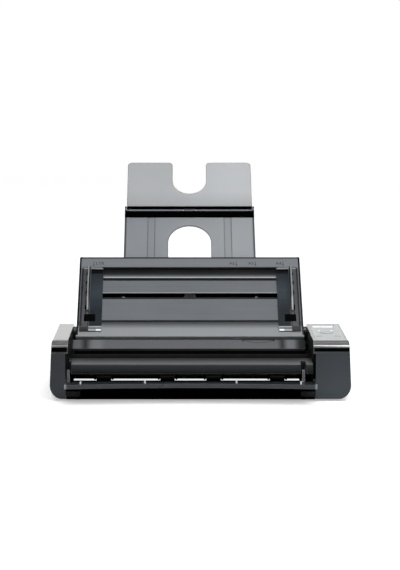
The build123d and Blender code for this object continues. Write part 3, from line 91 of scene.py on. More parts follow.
# Materials
class Shade:
    """A node material and the few calls that build its tree."""

    def __init__(self, name):
        self.material = bpy.data.materials.new(name)
        self.material.use_nodes = True
        self.tree = self.material.node_tree
        self.shader = self.tree.nodes["Principled BSDF"]
        self.place = self.node("ShaderNodeTexCoord").outputs["Object"]

    def feed(self, socket, value):
        """Link a socket, or set a plain value."""
        if isinstance(value, bpy.types.NodeSocket):
            self.tree.links.new(value, socket)
        else:
            socket.default_value = value

    def node(self, kind, inputs=None, **settings):
        """A node with its settings and its inputs by name or number."""
        made = self.tree.nodes.new(kind)
        for key, value in settings.items():
            setattr(made, key, value)
        for key, value in (inputs or {}).items():
            self.feed(made.inputs[key], value)
        return made

    def set(self, **values):
        """Plain values of the shader's own sockets."""
        for key, value in values.items():
            self.shader.inputs[key.replace("_", " ")].default_value = value

    def noise(self, scale, detail=3.0):
        """Noise of a scale per metre."""
        inputs = {"Vector": self.place, "Scale": scale, "Detail": detail}
        return self.node("ShaderNodeTexNoise", inputs).outputs["Fac"]

    def streaks(self, scale, detail=3.0):
        """Noise drawn out along an axis, of a scale per metre in each direction."""
        vector = self.node("ShaderNodeMapping", {"Vector": self.place, "Scale": scale}).outputs[0]
        inputs = {"Vector": vector, "Scale": 1.0, "Detail": detail}
        return self.node("ShaderNodeTexNoise", inputs).outputs["Fac"]

    def spread(self, value, low, high, to_low=0.0, to_high=1.0):
        """Value mapped from one span to another, clamped."""
        inputs = {0: value, 1: low, 2: high, 3: to_low, 4: to_high}
        return self.node("ShaderNodeMapRange", inputs).outputs[0]

    def vector_sum(self, operation, second=None):
        """Number from the place and a second vector."""
        inputs = {0: self.place} if second is None else {0: self.place, 1: second}
        return self.node("ShaderNodeVectorMath", inputs, operation=operation).outputs["Value"]

    def far(self, centre):
        """Distance in metres from a point of the row frame."""
        return self.vector_sum("DISTANCE", centre)

    def ramp(self, axis, start, end):
        """Mask that goes from 0 to 1 between two marks in millimetres on an axis."""
        direction, mark = AXES[axis]
        dot = self.vector_sum("DOT_PRODUCT", direction)
        return self.spread(dot, mark(start).dot(direction), mark(end).dot(direction))

    def band(self, axis, one, other, soft):
        """Mask that is 1 between two marks in millimetres on an axis, with soft ends."""
        low, high = sorted((one, other))
        return self.least(self.ramp(axis, low - soft, low + soft),
                          self.ramp(axis, high + soft, high - soft))

    def mix(self, factor, first, second):
        """Colour mix."""
        made = self.node("ShaderNodeMix", {"Factor": factor}, data_type="RGBA")
        self.feed(made.inputs[6], first)
        self.feed(made.inputs[7], second)
        return made.outputs[2]

    def math(self, operation, first, second, clamp=False):
        """Number from two numbers."""
        return self.node("ShaderNodeMath", {0: first, 1: second}, operation=operation,
                         use_clamp=clamp).outputs[0]

    def times(self, *masks):
        """Product of numbers."""
        product = masks[0]
        for mask in masks[1:]:
            product = self.math("MULTIPLY", product, mask)
        return product

    def plus(self, first, second):
        """Sum of two numbers."""
        return self.math("ADD", first, second)

    def least(self, first, second):
        """Smaller of two numbers."""
        return self.math("MINIMUM", first, second)

    def paint(self, colour, *masks):
        """Blend the base colour towards another where all the masks meet."""
        self.tone = self.mix(self.times(*masks), self.tone, colour)
        self.feed(self.shader.inputs["Base Color"], self.tone)

    def paint_edge_light_and_shade(self, colour, width):
        """Paint the edges a colour over about half of a width in millimetres: a painted highlight
        where the colour is lighter, painted shade where it is darker.
        """
        near = self.node("ShaderNodeBevel", {"Radius": width * MM}, samples=8).outputs[0]
        flat = self.node("ShaderNodeNewGeometry").outputs["Normal"]
        dot = self.node("ShaderNodeVectorMath", {0: near, 1: flat}, operation="DOT_PRODUCT")
        self.paint(colour, self.spread(dot.outputs["Value"], 0.985, 0.86))


def grey(level, blue=0.06):
    """A cool grey of a brightness."""
    return (level * (1 - blue), level, level * (1 + blue), 1.0)


def scaled(colour, share):
    """A colour made darker or lighter by a share."""
    return tuple(c * share for c in colour[:3]) + (1.0,)


def moulded(name, colour, roughness, grain=0.35, bump=0.08, edge=0.3, drift=0.07, painted_edge_highlight=None,
            **values):
    """Moulded plastic: slow colour drift, uneven gloss, fine grain and softly broken edges.
    A painted edge highlight is a lighter colour and a width in millimetres that the edges take."""
    made = Shade(name)
    slow = made.spread(made.noise(14), 0.3, 0.7)
    made.tone = made.mix(slow, scaled(colour, 1 - drift), scaled(colour, 1 + drift))
    made.feed(made.shader.inputs["Base Color"], made.tone)
    gloss = made.spread(made.noise(55), 0.25, 0.75, roughness * 0.88, roughness * 1.12)
    made.feed(made.shader.inputs["Roughness"], gloss)
    broken = made.node("ShaderNodeBevel", {"Radius": edge * MM}, samples=4).outputs[0]
    fine = made.noise(1 / (grain * MM), 2.0)
    wave = made.noise(9, 1.0)
    height = made.node("ShaderNodeMath", {0: wave, 1: 0.6, 2: fine}, operation="MULTIPLY_ADD")
    rough = made.node("ShaderNodeBump", {"Strength": bump, "Distance": grain * MM,
                                         "Height": height.outputs[0], "Normal": broken})
    made.feed(made.shader.inputs["Normal"], rough.outputs[0])
    made.set(**values)
    if painted_edge_highlight:
        made.paint_edge_light_and_shade(*painted_edge_highlight)
    return made


def metal(name, colour, roughness, stretch):
    """Turned or drawn metal with fine lines along X."""
    made = Shade(name)
    lines = made.streaks(stretch, 2.0)
    made.feed(made.shader.inputs["Base Color"], made.mix(lines, colour, scaled(colour, 0.8)))
    uneven = made.spread(lines, 0.3, 0.7, roughness * 0.8, roughness * 1.2)
    made.feed(made.shader.inputs["Roughness"], uneven)
    bump = made.node("ShaderNodeBump", {"Strength": 0.1, "Distance": 0.1 * MM, "Height": lines})
    made.feed(made.shader.inputs["Normal"], bump.outputs[0])
    made.set(Metallic=1.0)
    return made


def rubber(name, level, pitch, specular=0.25):
    """Soft rubber with fine ribs across its running direction."""
    made = moulded(name, grey(level, 0.02), 0.75, grain=0.2, bump=0.3, edge=0.2,
                   Specular_IOR_Level=specular)
    ribs = made.node("ShaderNodeTexWave", {"Vector": made.place, "Scale": 1 / (pitch * MM),
                                           "Distortion": 0.0}, bands_direction="X")
    top = made.node("ShaderNodeBump", {"Strength": 0.35, "Distance": 0.2 * MM,
                                       "Height": ribs.outputs["Fac"]})
    made.feed(made.shader.inputs["Normal"], top.outputs[0])
    return made


def lit(made, colour, strength):
    """Give a material its own light."""
    made.set(Emission_Strength=strength)
    made.feed(made.shader.inputs["Emission Color"], colour)
    return made


def glass(name, colour, roughness):
    """Thin clear cover, a little dusty."""
    made = Shade(name)
    dust = made.spread(made.noise(300), 0.45, 0.8, roughness, roughness + 0.12)
    made.feed(made.shader.inputs["Roughness"], dust)
    dimmed = tuple(c * 0.97 for c in colour)
    made.feed(made.shader.inputs["Base Color"], made.mix(made.noise(40), colour, dimmed))
    made.set(Transmission_Weight=1.0, IOR=1.5)
    return made


# End caps: bluish face with painted light that makes it lighter towards the bottom and on the
# right, thin painted highlight line at the seam, pale flat top from painted reflection, front
# rounding bright from a lamp and painted highlights, dark band, painted edge highlights
cap_gloss = moulded("cap_gloss", (0.001, 0.001, 0.0012, 1.0), 0.09, bump=0.01, edge=0.5,
                    painted_edge_highlight=(grey(0.16), 1.4), Specular_IOR_Level=0.10, Coat_Weight=1.0, Coat_IOR=1.33,
                    Coat_Roughness=0.04)
face = cap_gloss.ramp("z", 51.6, 50.4)
lower = cap_gloss.ramp("z", 50.0, 14.0)
right_face_light = cap_gloss.times(face, cap_gloss.ramp("x", 100, 150))
brow_highlight = cap_gloss.times(cap_gloss.band("z", 61.3, 64.5, 0.8), cap_gloss.ramp("y", 9.0, 6.5))
right_cap = cap_gloss.ramp("x", 100, 101)
left_cap = cap_gloss.ramp("x", 1, 0)
flat_top = cap_gloss.ramp("z", 63.4, 63.8)
top_front = cap_gloss.times(cap_gloss.ramp("y", 1.0, 7.0), cap_gloss.ramp("y", 16.0, 12.0))
cap_gloss.paint((0.0005, 0.002, 0.006, 1.0), face)
# Painted light: the face is lighter towards the bottom, and more so on the right cap
cap_gloss.paint((0.003, 0.007, 0.0115, 1.0), lower)
cap_gloss.paint((0.009, 0.014, 0.020, 1.0), right_face_light)
cap_gloss.paint((0.021, 0.029, 0.036, 1.0), right_face_light, lower)
# Painted highlight: a thin light line just above the seam of the right cap's face
cap_gloss.paint(grey(0.035, 0.1), cap_gloss.band("z", 52.4, 53.2, 0.3), right_cap)
# Painted reflection: the flat tops are paler, more on the left cap and most at the front of the
# right cap's top
cap_gloss.paint(grey(0.09, 0.0), flat_top)
cap_gloss.paint(grey(0.17, 0.0), flat_top, left_cap)
# Painted highlight on the upper front rounding
cap_gloss.paint(grey(0.13, 0.0), brow_highlight)
cap_gloss.paint(grey(0.26, 0.0), flat_top, right_cap, top_front)
# Painted highlight band on the right cap's front rounding
cap_gloss.paint(grey(0.15, 0.05), cap_gloss.band("z", 57.2, 58.4, 0.7), right_cap)

# Dark inside of the body, with the corner blocks under the visor a little lighter
frame_black = moulded("frame_black", grey(0.003), 0.5, Specular_IOR_Level=0.12)
deep_black = moulded("deep_black", grey(0.0012, 0.0), 0.6, edge=0.2, Specular_IOR_Level=0.0)
base_black = moulded("base_black", grey(0.0006, 0.0), 0.6, edge=0.2, Specular_IOR_Level=0.0)
block_ends = base_black.plus(base_black.ramp("x", -114.5, -115.0),
                             base_black.ramp("x", 114.5, 115.0))
base_black.paint(grey(0.024), base_black.ramp("y", 15.0, 14.6),
                 base_black.band("z", 5.2, 10.8, 0.2), block_ends)
hinge_black = moulded("hinge_black", grey(0.0008, 0.0), 0.6, edge=0.2, Specular_IOR_Level=0.0)
# Painted highlight: a light line along the fold of the hinge beams
hinge_black.paint(grey(0.19), hinge_black.band("u", 182.3, 184.3, 0.25))
bridge_black = moulded("bridge_black", grey(0.001), 0.5, edge=0.2, Specular_IOR_Level=0.02)
# Painted highlight along the lip of the feed bridge
bridge_black.paint(grey(0.006), bridge_black.band("y", 40.6, 46.0, 0.6))

# Front bar: painted shade darkening the face downwards, a painted highlight brightening the top
# towards the front, painted edge highlights
bar_satin = moulded("bar_satin", grey(0.0035, 0.2), 0.38, painted_edge_highlight=(grey(0.12), 0.9),
                    Specular_IOR_Level=0.17)
bar_satin.paint(grey(0.024, 0.16), bar_satin.ramp("y", 8.4, 7.6), bar_satin.ramp("z", 29.5, 37.0))
bar_satin.paint(grey(0.095), bar_satin.ramp("y", 23.0, 10.0), bar_satin.ramp("z", 37.4, 38.3))

# Ledge: light band on the rear cover, which is near black outside it, painted shade where that
# meets the ledge's front edge in the feed valley;
# dark and light patches across the band; painted shade along the arc of the scoop and in a dot at
# each of its ends
SCOOP_CENTRE = place(74, 103.77, 71.0)
SCOOP_ENDS = (57.6, 90.4)
ledge_satin = moulded("ledge_satin", grey(0.008), 0.42, Specular_IOR_Level=0.3)
on_ledge = ledge_satin.band("y", 66.5, 84.0, 0.3)
ledge_satin.paint(grey(0.105, 0.06), on_ledge)
for start, end, soft, level in ((-117.0, -110.0, 3.0, 0.018), (-107.0, -95.0, 3.0, 0.15),
                                (96.6, 102.6, 2.5, 0.02), (104.8, 113.0, 2.0, 0.14),
                                (115.5, 128.0, 3.0, 0.012)):
    ledge_satin.paint(grey(level), on_ledge, ledge_satin.band("x", start, end, soft))
# Painted shade along the edge of the shallow scoop and in dots at its ends
from_scoop = ledge_satin.far(SCOOP_CENTRE)
arc = ledge_satin.least(ledge_satin.spread(from_scoop, 0.0371, 0.0376),
                        ledge_satin.spread(from_scoop, 0.0389, 0.0384))
ledge_satin.paint(grey(0.018), arc, ledge_satin.band("x", 57.5, 90.5, 0.5))
for x in SCOOP_ENDS:
    dot = ledge_satin.spread(ledge_satin.far(place(x, 75.8, 49.8)), 0.0017, 0.0011)
    ledge_satin.paint(grey(0.001), dot)

# Visor: painted highlights at the corners of the lip's ends, on the nubs and along the edges
lip_satin = moulded("lip_satin", grey(0.02, 0.16), 0.3, painted_edge_highlight=(grey(0.07), 0.6),
                    Specular_IOR_Level=0.35)
lip_end_highlight = lip_satin.plus(lip_satin.ramp("x", 126.5, 129), lip_satin.ramp("x", -126.5, -129))
lip_satin.paint(grey(0.22), lip_end_highlight, lip_satin.ramp("y", -16, -18))
# Painted highlights on the nubs above the lip
lip_satin.paint(grey(0.5), lip_satin.ramp("z", 23.5, 23.8))

# Tray, by height: painted light on the ramp at the foot, painted shade in and beside the seam,
# slot and grooves, painted shade and light across the trough, painted highlight lines, painted
# shade at the top edge and beside the guides, and a lighter upper band
TRAY_REACH = 119.0
GROOVE_SHADE = grey(0.001, 0.0)
tray_satin = moulded("tray_satin", grey(0.124, 0.085), 0.42, Specular_IOR_Level=0.2)
brushed = tray_satin.spread(tray_satin.streaks((7.0, 420.0, 420.0)), 0.42, 0.68, 0.0, 0.30)
tray_inner = tray_satin.band("x", -TRAY_REACH, TRAY_REACH, 0.5)
trough = tray_satin.times(tray_inner, tray_satin.band("u", 79.9, 97.0, 0.05))
sunk = tray_satin.ramp("w", -0.2, -0.5)
guide_run = tray_satin.band("u", 9.0, 95.5, 0.3)
tray_satin.paint(grey(0.155, 0.08), brushed)
tray_satin.paint(grey(0.162, 0.07), tray_satin.ramp("u", 97.0, 97.4))
tray_satin.paint(grey(0.058, 0.09), tray_satin.ramp("u", 22.2, 21.8))
# Painted light: the ramp at the foot is much lighter, as it faces up
tray_satin.paint(grey(0.25, 0.04), tray_satin.ramp("u", 19.0, 12.0))
# Painted shade darkening the trough towards the band above it, and painted light at its low end
for start, end, level in ((86.5, 82.0, 0.24), (84.0, 88.5, 0.022), (88.0, 93.0, 0.001)):
    tray_satin.paint(grey(level), trough, tray_satin.ramp("u", start, end))
# Painted highlight lines below the trough and above the slot
for low, high, level in ((82.6, 83.7, 0.40), (60.7, 61.9, 0.23)):
    tray_satin.paint(grey(level), tray_satin.band("u", low, high, 0.3), tray_inner)
# Painted shade that darkens and widens the seams, the groove below the trough and the slot
for low, high, reach in ((20.7, 23.8, tray_inner), (77.8, 82.2, tray_inner),
                         (52.4, 54.2, tray_inner), (54.0, 60.7, sunk)):
    tray_satin.paint(GROOVE_SHADE, tray_satin.band("u", low, high, 0.15), reach)
# Painted shade at the top edge of the tray
tray_satin.paint(grey(0.015), tray_satin.ramp("u", 108.7, 109.4))
# Painted shade in the gaps beside the guides
for side in (-1, 1):
    tray_satin.paint(grey(0.002), tray_satin.band("x", side * 119.2, side * 120.4, 0.2), guide_run)

shell_gloss = moulded("shell_gloss", grey(0.010, 0.15), 0.2, bump=0.015, edge=0.5,
                      Specular_IOR_Level=0.25, Coat_Weight=0.6, Coat_IOR=1.33, Coat_Roughness=0.1)
# Painted light: the shell's lower edge, which faces down into shade, is made pale
shell_gloss.paint(grey(0.3), shell_gloss.ramp("u", 0.8, 0.2))

# Paper rest: painted light making both panels lighter to the right and the upper one darker
# towards its lower end, painted shade on the edges and in the channels of the lower one, which is
# also darker outside x ±73
REST_EDGE_SHADE = (grey(0.05), 1.6)
upper_rest = moulded("upper_rest", grey(0.36, 0.03), 0.32, drift=0.03, Specular_IOR_Level=0.5)
# Painted light: lighter to the right and darker towards the lower end
upper_rest.paint(grey(0.43, 0.03), upper_rest.ramp("x", -15, 35))
upper_rest.paint(grey(0.32, 0.03), upper_rest.ramp("u", 212, 186))
upper_rest.paint_edge_light_and_shade(*REST_EDGE_SHADE)
lower_rest = moulded("lower_rest", grey(0.212, 0.07), 0.32, drift=0.04, Specular_IOR_Level=0.5)
# Painted light: lighter to the right
lower_rest.paint(grey(0.27, 0.05), lower_rest.ramp("x", -45, 45))
# Painted shade along the channel edges and in the channels; darker outside x ±73
for side in (-1, 1):
    for near, away in ((39.4, 40.4), (47.6, 48.6)):
        lower_rest.paint(grey(0.12), lower_rest.band("x", side * near, side * away, 0.7), 0.35)
    lower_rest.paint(grey(0.19), lower_rest.band("x", side * 40.4, side * 47.6, 1.5), 0.3)
    lower_rest.paint(grey(0.05), lower_rest.ramp("x", side * 73.0, side * 73.6))
lower_rest.paint_edge_light_and_shade(*REST_EDGE_SHADE)

# Side guides: painted highlights on the fence top, the head and the tip, a white painted highlight
# spot at the tip's front, painted shade in the gaps between the pieces and around the tip, painted
# edge highlights
guide_grey = moulded("guide_grey", grey(0.060, 0.08), 0.35, painted_edge_highlight=(grey(0.17), 0.5),
                     Specular_IOR_Level=0.3)
tip = guide_grey.ramp("u", 15.0, 14.0)
tip_highlight_spot = guide_grey.ramp("u", 10.3, 9.9)
gap_run = guide_grey.band("u", 30, 66, 0.5)
# Painted highlights on the fence top and the head
guide_grey.paint(grey(0.20), guide_grey.ramp("w", 3.5, 5.0))
guide_grey.paint(grey(0.24), guide_grey.ramp("u", 93.0, 93.4))
# Painted shade in the outer gap, around the tip and in the gaps along the fence; painted
# highlights on the tip and a white painted highlight spot at its front
for side in (-1, 1):
    guide_grey.paint(grey(0.004), guide_grey.ramp("x", side * 118.7, side * 119.1))
    guide_grey.paint(grey(0.30, 0.04), tip, guide_grey.ramp("x", side * 111.6, side * 110.6),
                     guide_grey.ramp("x", side * 60, side * 61))
    guide_grey.paint(grey(0.8, 0.0), tip_highlight_spot,
                     guide_grey.band("x", side * 97.4, side * 102.6, 0.4))
    guide_grey.paint(grey(0.003), tip, guide_grey.ramp("x", side * 110.8, side * 112.4))
    guide_grey.paint(grey(0.004), guide_grey.band("x", side * 111.2, side * 112.1, 0.15))
    guide_grey.paint(grey(0.004), guide_grey.band("x", side * 114.1, side * 115.3, 0.15), gap_run)
# Painted shade in the gaps just above and below the tip
guide_grey.paint(grey(0.02), guide_grey.band("u", 10.5, 12.0, 0.25))
guide_grey.paint(grey(0.002), guide_grey.ramp("u", 7.9, 7.4))
guide_dark = moulded("guide_dark", grey(0.020, 0.26), 0.3, Specular_IOR_Level=0.12)
worn = guide_dark.spread(guide_dark.streaks((20.0, 300.0, 300.0)), 0.4, 0.7, 0.0, 0.35)
guide_dark.paint(grey(0.046, 0.24), guide_dark.band("u", 48, 76, 12.0))
guide_dark.paint(grey(0.018, 0.25), worn)
# Painted shade in the pocket at the wing's top and at its lower end
guide_dark.paint(grey(0.002), guide_dark.ramp("u", 86.2, 86.9))
guide_dark.paint(grey(0.004), guide_dark.ramp("u", 16.6, 15.6))
pad_black = rubber("pad_black", 0.001, 0.9, 0.02)
# Light grey arms with painted edge highlights
arm_grey = moulded("arm_grey", grey(0.075, 0.05), 0.35, painted_edge_highlight=(grey(0.3), 0.8),
                   Specular_IOR_Level=0.4)

# Control panel, glass, metals and inner plastics
panel_gloss = moulded("panel_gloss", (0.09, 0.125, 0.125, 1.0), 0.14, bump=0.01, edge=0.2,
                      Coat_Weight=0.8, Coat_Roughness=0.06)
key_gloss = moulded("key_gloss", grey(0.12, 0.02), 0.2, bump=0.02, edge=0.4, Coat_Weight=0.7,
                    Coat_Roughness=0.1)
lens = lit(moulded("status_lens", grey(0.5, 0.02), 0.2, bump=0.02), (0.8, 0.95, 1.0, 1.0), 0.6)
display_lit = lit(moulded("display_lit", grey(0.5, 0.0), 0.4, bump=0.01),
                  (0.95, 1.0, 1.0, 1.0), 0.55)
display_glass = glass("display_glass", (0.97, 0.98, 0.98, 1.0), 0.03)
bar_glass = glass("bar_glass", (0.9, 0.93, 0.93, 1.0), 0.03)
DRAWN = (900.0, 9000.0, 9000.0)
steel = metal("ground_steel", (0.56, 0.57, 0.58, 1.0), 0.28, DRAWN)
dark_steel = metal("dark_steel", (0.03, 0.03, 0.032, 1.0), 0.5, DRAWN)
bronze = metal("sintered_bronze", (0.42, 0.27, 0.13, 1.0), 0.45, (3000.0, 3000.0, 3000.0))
zinc = metal("zinc_plate", (0.48, 0.49, 0.5, 1.0), 0.36, (400.0, 400.0, 400.0))
feed_rubber = rubber("feed_rubber", 0.012, 1.1)
exit_rubber = rubber("exit_rubber", 0.0015, 1.1, 0.03)
foot_rubber = rubber("foot_rubber", 0.02, 1.4)
roller_plastic = moulded("roller_plastic", grey(0.0012), 0.6, Specular_IOR_Level=0.03)
acetal = moulded("acetal", (0.66, 0.64, 0.58, 1.0), 0.38, drift=0.03, Specular_IOR_Level=0.5)
# Painted light: the white strip glows with a light of its own, standing for the light it catches
white_strip = lit(moulded("white_strip", (0.86, 0.86, 0.86, 1.0), 0.45, drift=0.02),
                  (1.0, 1.0, 1.0, 1.0), 0.85)
solder_mask = moulded("solder_mask", (0.012, 0.10, 0.04, 1.0), 0.3, grain=1.2, bump=0.1)
ink_dark = moulded("ink_dark", grey(0.003, 0.02), 0.5, grain=0.1, bump=0.05, edge=0.05)
ink_pale = moulded("ink_pale", grey(0.62, 0.01), 0.14, grain=0.1, bump=0.01, edge=0.05,
                   Coat_Weight=0.8, Coat_Roughness=0.06)

looks = {
    cap_gloss: ["left_end_cap", "right_end_cap"],
    frame_black: ["left_side_frame", "right_side_frame", "scan_bar"],
    base_black: ["base_housing"],
    deep_black: ["lower_paper_guide", "pinch_holders"],
    bridge_black: ["feed_bridge"],
    hinge_black: ["lower_hinge_beam", "upper_hinge_beam"],
    bar_satin: ["front_bar"],
    ledge_satin: ["rear_cover"],
    lip_satin: ["visor"],
    tray_satin: ["cover_tray"],
    shell_gloss: ["cover_shell"],
    upper_rest: ["upper_rest_panel"],
    lower_rest: ["lower_rest_panel"],
    guide_grey: ["left_guide", "right_guide"],
    guide_dark: ["left_guide_wing", "right_guide_wing", "guide_pinion"],
    pad_black: ["left_guide_pad", "right_guide_pad"],
    arm_grey: ["visor_arms"],
    steel: ["cover_hinge_pins", "feed_shaft", "exit_shaft", "motor_shaft", "usb_socket"],
    dark_steel: ["fold_pin"],
    bronze: ["roller_bushes"],
    feed_rubber: ["feed_tyres", "separation_pad"],
    exit_rubber: ["exit_tyres"],
    foot_rubber: ["rubber_feet"],
    roller_plastic: ["pinch_rollers"],
    acetal: ["feed_gear", "exit_gear", "idler_gear", "motor_pinion"],
    zinc: ["gear_bracket", "drive_motor"],
    white_strip: ["white_strip"],
    bar_glass: ["scan_glass"],
    display_glass: ["display_window"],
    lens: ["status_lights"],
    panel_gloss: ["control_panel"],
    key_gloss: ["scan_key", "mode_key", "power_key"],
    solder_mask: ["main_board"],
    display_lit: ["display_module"],
}
for shade, names in looks.items():
    for name in names:
        nodes[name].data.materials.clear()
        nodes[name].data.materials.append(shade.material)


# Thicknesses in millimetres: half of a letter, a tick or sign, a ring, and the panel's border
INK, SIGN, RING, BORDER = 0.02, 0.03, 0.1, 0.12


# Pieces of the scene's own
def added(name, mesh, shade):
    """An object in the scene from a mesh, with its material."""
    made = bpy.data.objects.new(name, mesh)
    bpy.context.scene.collection.objects.link(made)
    mesh.materials.clear()
    mesh.materials.append(shade.material)
    return made


def meshed(name, bm):
    """A mesh from a bmesh, which is freed."""
    mesh = bpy.data.meshes.new(name)
    bm.to_mesh(mesh)
    bm.free()
    return mesh


def piece(name, bm, shade, body):
    """A mesh object from a bmesh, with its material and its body."""
    bmesh.ops.recalc_face_normals(bm, faces=bm.faces)
    made = added(name, meshed(name, bm), shade)
    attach(made, body)


def turned(centre, across, up, out):
    """Matrix that stands a flat drawing on a face."""
    turn = Matrix((across, up, out)).transposed().to_4x4()
    return Matrix.Translation(centre) @ turn


def raised(bm, outlines, height, matrix):
    """Closed outlines in millimetres, filled and raised by a height."""
    edges = []
    for outline in outlines:
        points = [bm.verts.new(Vector((x * MM, y * MM, 0))) for x, y in outline]
        edges += [bm.edges.new((points[i - 1], points[i])) for i in range(len(points))]
    filled = bmesh.ops.triangle_fill(bm, use_beauty=True, edges=edges)
    faces = [item for item in filled["geom"] if isinstance(item, bmesh.types.BMFace)]
    risen = bmesh.ops.extrude_face_region(bm, geom=faces, use_keep_orig=True)
    tops = [item for item in risen["geom"] if isinstance(item, bmesh.types.BMVert)]
    bmesh.ops.translate(bm, vec=Vector((0, 0, height * MM)), verts=tops)
    used = {vert for face in faces for vert in face.verts} | set(tops)
    bmesh.ops.transform(bm, matrix=matrix, verts=list(used))


def rounded(width, length, radius, steps=5):
    """Outline of a rounded rectangle in millimetres."""
    points = []
    for sx, sy, start in ((1, 1, 0), (-1, 1, 90), (-1, -1, 180), (1, -1, 270)):
        for step in range(steps + 1):
            angle = math.radians(start + 90 * step / steps)
            points.append((sx * (width / 2 - radius) + radius * math.cos(angle),
                           sy * (length / 2 - radius) + radius * math.sin(angle)))
    return points


def ring(radius, steps=32, start=0.0, turn=360.0):
    """Points of a circle or arc in millimetres."""
    count = steps if turn == 360.0 else steps + 1
    angles = [math.radians(start + turn * i / steps) for i in range(count)]
    return [(radius * math.cos(a), radius * math.sin(a)) for a in angles]


def bar_shape(x, y, width, length):
    """Outline of a small straight bar."""
    corners = ((-1, -1), (1, -1), (1, 1), (-1, 1))
    return [(x + sx * width / 2, y + sy * length / 2) for sx, sy in corners]


def lettering(name, words, size, matrix, shade, body):
    """Printed words as a thin mesh."""
    curve = bpy.data.curves.new(name, "FONT")
    curve.body = words
    curve.size = size * MM
    curve.align_x = "CENTER"
    curve.extrude = INK * MM
    maker = bpy.data.objects.new(name + "_maker", curve)
    bpy.context.scene.collection.objects.link(maker)
    bpy.context.view_layer.update()
    mesh = bpy.data.meshes.new_from_object(maker)
    bpy.data.objects.remove(maker)
    mesh.transform(matrix)
    mesh.name = name
    made = added(name, mesh, shade)
    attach(made, body)


# Paper widths on the tray's upper band: words, side of the middle, half width, shift of the words
paper_widths = (("A6", 1, 52.5, -5.0), ("A5", 1, 74.0, -5.0), ("A4", 1, 105.0, -5.0),
                ("LTR", -1, 107.95, 7.0))
on_tray = turned(tray_place(0, 0, 0.005), ACROSS, TRAY_UP, TRAY_OUT)
ticks = bmesh.new()
for words, side, reach, shift in paper_widths:
    x = side * reach
    raised(ticks, [bar_shape(x, 102.6, 0.55, 5.2)], SIGN, on_tray)
    for lean in (-1, 1):
        raised(ticks, [[(x, 98.6), (x + lean * 1.2, 100.6), (x, 100.2)]], SIGN, on_tray)
    matrix = turned(tray_place(x + shift, 100.4, 0.02), ACROSS, TRAY_UP, TRAY_OUT)
    lettering("paper_mark_" + words, words, 5.6, matrix, ink_dark, "cover")
piece("paper_ticks", ticks, ink_dark, "cover")


# Control panel: inset border, signs on the keys, rings around them and a line at the display
def panel_matrix(x, y, lift):
    """Matrix for a drawing that lies on the panel at a place."""
    spot = place(x, y, 0) + Vector((0, 0, cap_top + lift * MM))
    return turned(spot, ACROSS, BACK, UP)


IN_PANEL = -0.02
ON_KEY = 0.3
POWER_KEY, MODE_KEY = (155.2, 29.0), (135.0, 29.0)
border = bmesh.new()
raised(border, [rounded(27.6, 76.6, 2.4), rounded(26.8, 75.8, 2.0)], BORDER,
       panel_matrix(145.8, 53.0, IN_PANEL))
piece("panel_border", border, ink_pale, "body")

signs = bmesh.new()
broken_ring = ring(1.5, 24, 125, 290) + ring(1.15, 24, 415, -290)
for outline in (broken_ring, bar_shape(0, 1.2, 0.36, 1.7)):
    raised(signs, [outline], SIGN, panel_matrix(*POWER_KEY, ON_KEY))
piece("power_sign", signs, ink_pale, "power_key")

signs = bmesh.new()
raised(signs, [rounded(1.9, 2.6, 0.2), rounded(1.3, 2.0, 0.1)], SIGN,
       panel_matrix(*MODE_KEY, ON_KEY))
piece("mode_sign", signs, ink_pale, "mode_key")

signs = bmesh.new()
diamonds = [[(-r, 0), (0, r), (r, 0), (0, -r)] for r in (1.9, 1.35)]
for outlines in (diamonds, [bar_shape(2.9, 0, 0.5, 3.6)]):
    raised(signs, outlines, SIGN, panel_matrix(144.0, 47.0, ON_KEY))
piece("scan_sign", signs, ink_pale, "scan_key")

rings = bmesh.new()
for spot, radius in (((145.0, 47.0), 7.3), (MODE_KEY, 3.9), (POWER_KEY, 3.9)):
    raised(rings, [ring(radius, 40), ring(radius - 0.35, 40)], RING, panel_matrix(*spot, IN_PANEL))
piece("key_rings", rings, ink_pale, "body")

frame_line = bmesh.new()
raised(frame_line, [rounded(26.2, 15.1, 1.6), rounded(25.4, 14.3, 1.3)], RING,
       panel_matrix(144.2, 82.45, IN_PANEL))
piece("display_border", frame_line, ink_pale, "body")


# Screws
def screw_head(bm, centre, radius, out):
    """Domed screw head with a cross recess, standing on a face."""
    across = out.orthogonal().normalized()
    matrix = turned(centre, across, out.cross(across), out)
    arm, half = radius * 0.55, radius * 0.16
    cross = [(half, half), (half, arm), (-half, arm), (-half, half), (-arm, half), (-arm, -half),
             (-half, -half), (-half, -arm), (half, -arm), (half, -half), (arm, -half), (arm, half)]
    steps = 24
    dome = ((1.0, 0.0), (1.0, 0.25), (0.92, 0.45), (0.72, 0.58))

    def level(outline, rise):
        """Vertices of an outline at a height in millimetres."""
        return [bm.verts.new(matrix @ Vector((x * MM, y * MM, rise * MM))) for x, y in outline]

    def closed(points):
        """Edges around a row of vertices."""
        pairs = [(points[i - 1], points[i]) for i in range(len(points))]
        return [bm.edges.get(pair) or bm.edges.new(pair) for pair in pairs]

    rows = [level(ring(radius * share, steps), rise * radius) for share, rise in dome]
    for lower_row, upper_row in zip(rows, rows[1:]):
        for i in range(steps):
            bm.faces.new((lower_row[i - 1], lower_row[i], upper_row[i], upper_row[i - 1]))
    bm.faces.new(reversed(rows[0]))
    high = dome[-1][1] * radius
    top = level(cross, high)
    deep = level([(x * 0.8, y * 0.8) for x, y in cross], high * 0.3)
    bmesh.ops.triangle_fill(bm, use_beauty=True, edges=closed(rows[-1]) + closed(top))
    for i in range(len(cross)):
        bm.faces.new((top[i - 1], top[i], deep[i], deep[i - 1]))
    bm.faces.new(deep)


screws = bmesh.new()
for x in (-104.0, 0.0, 104.0):
    for y in (28.0, 92.0):
        screw_head(screws, place(x, y, 2.0), 2.4, UP * -1)
piece("base_screws", screws, steel, "body")

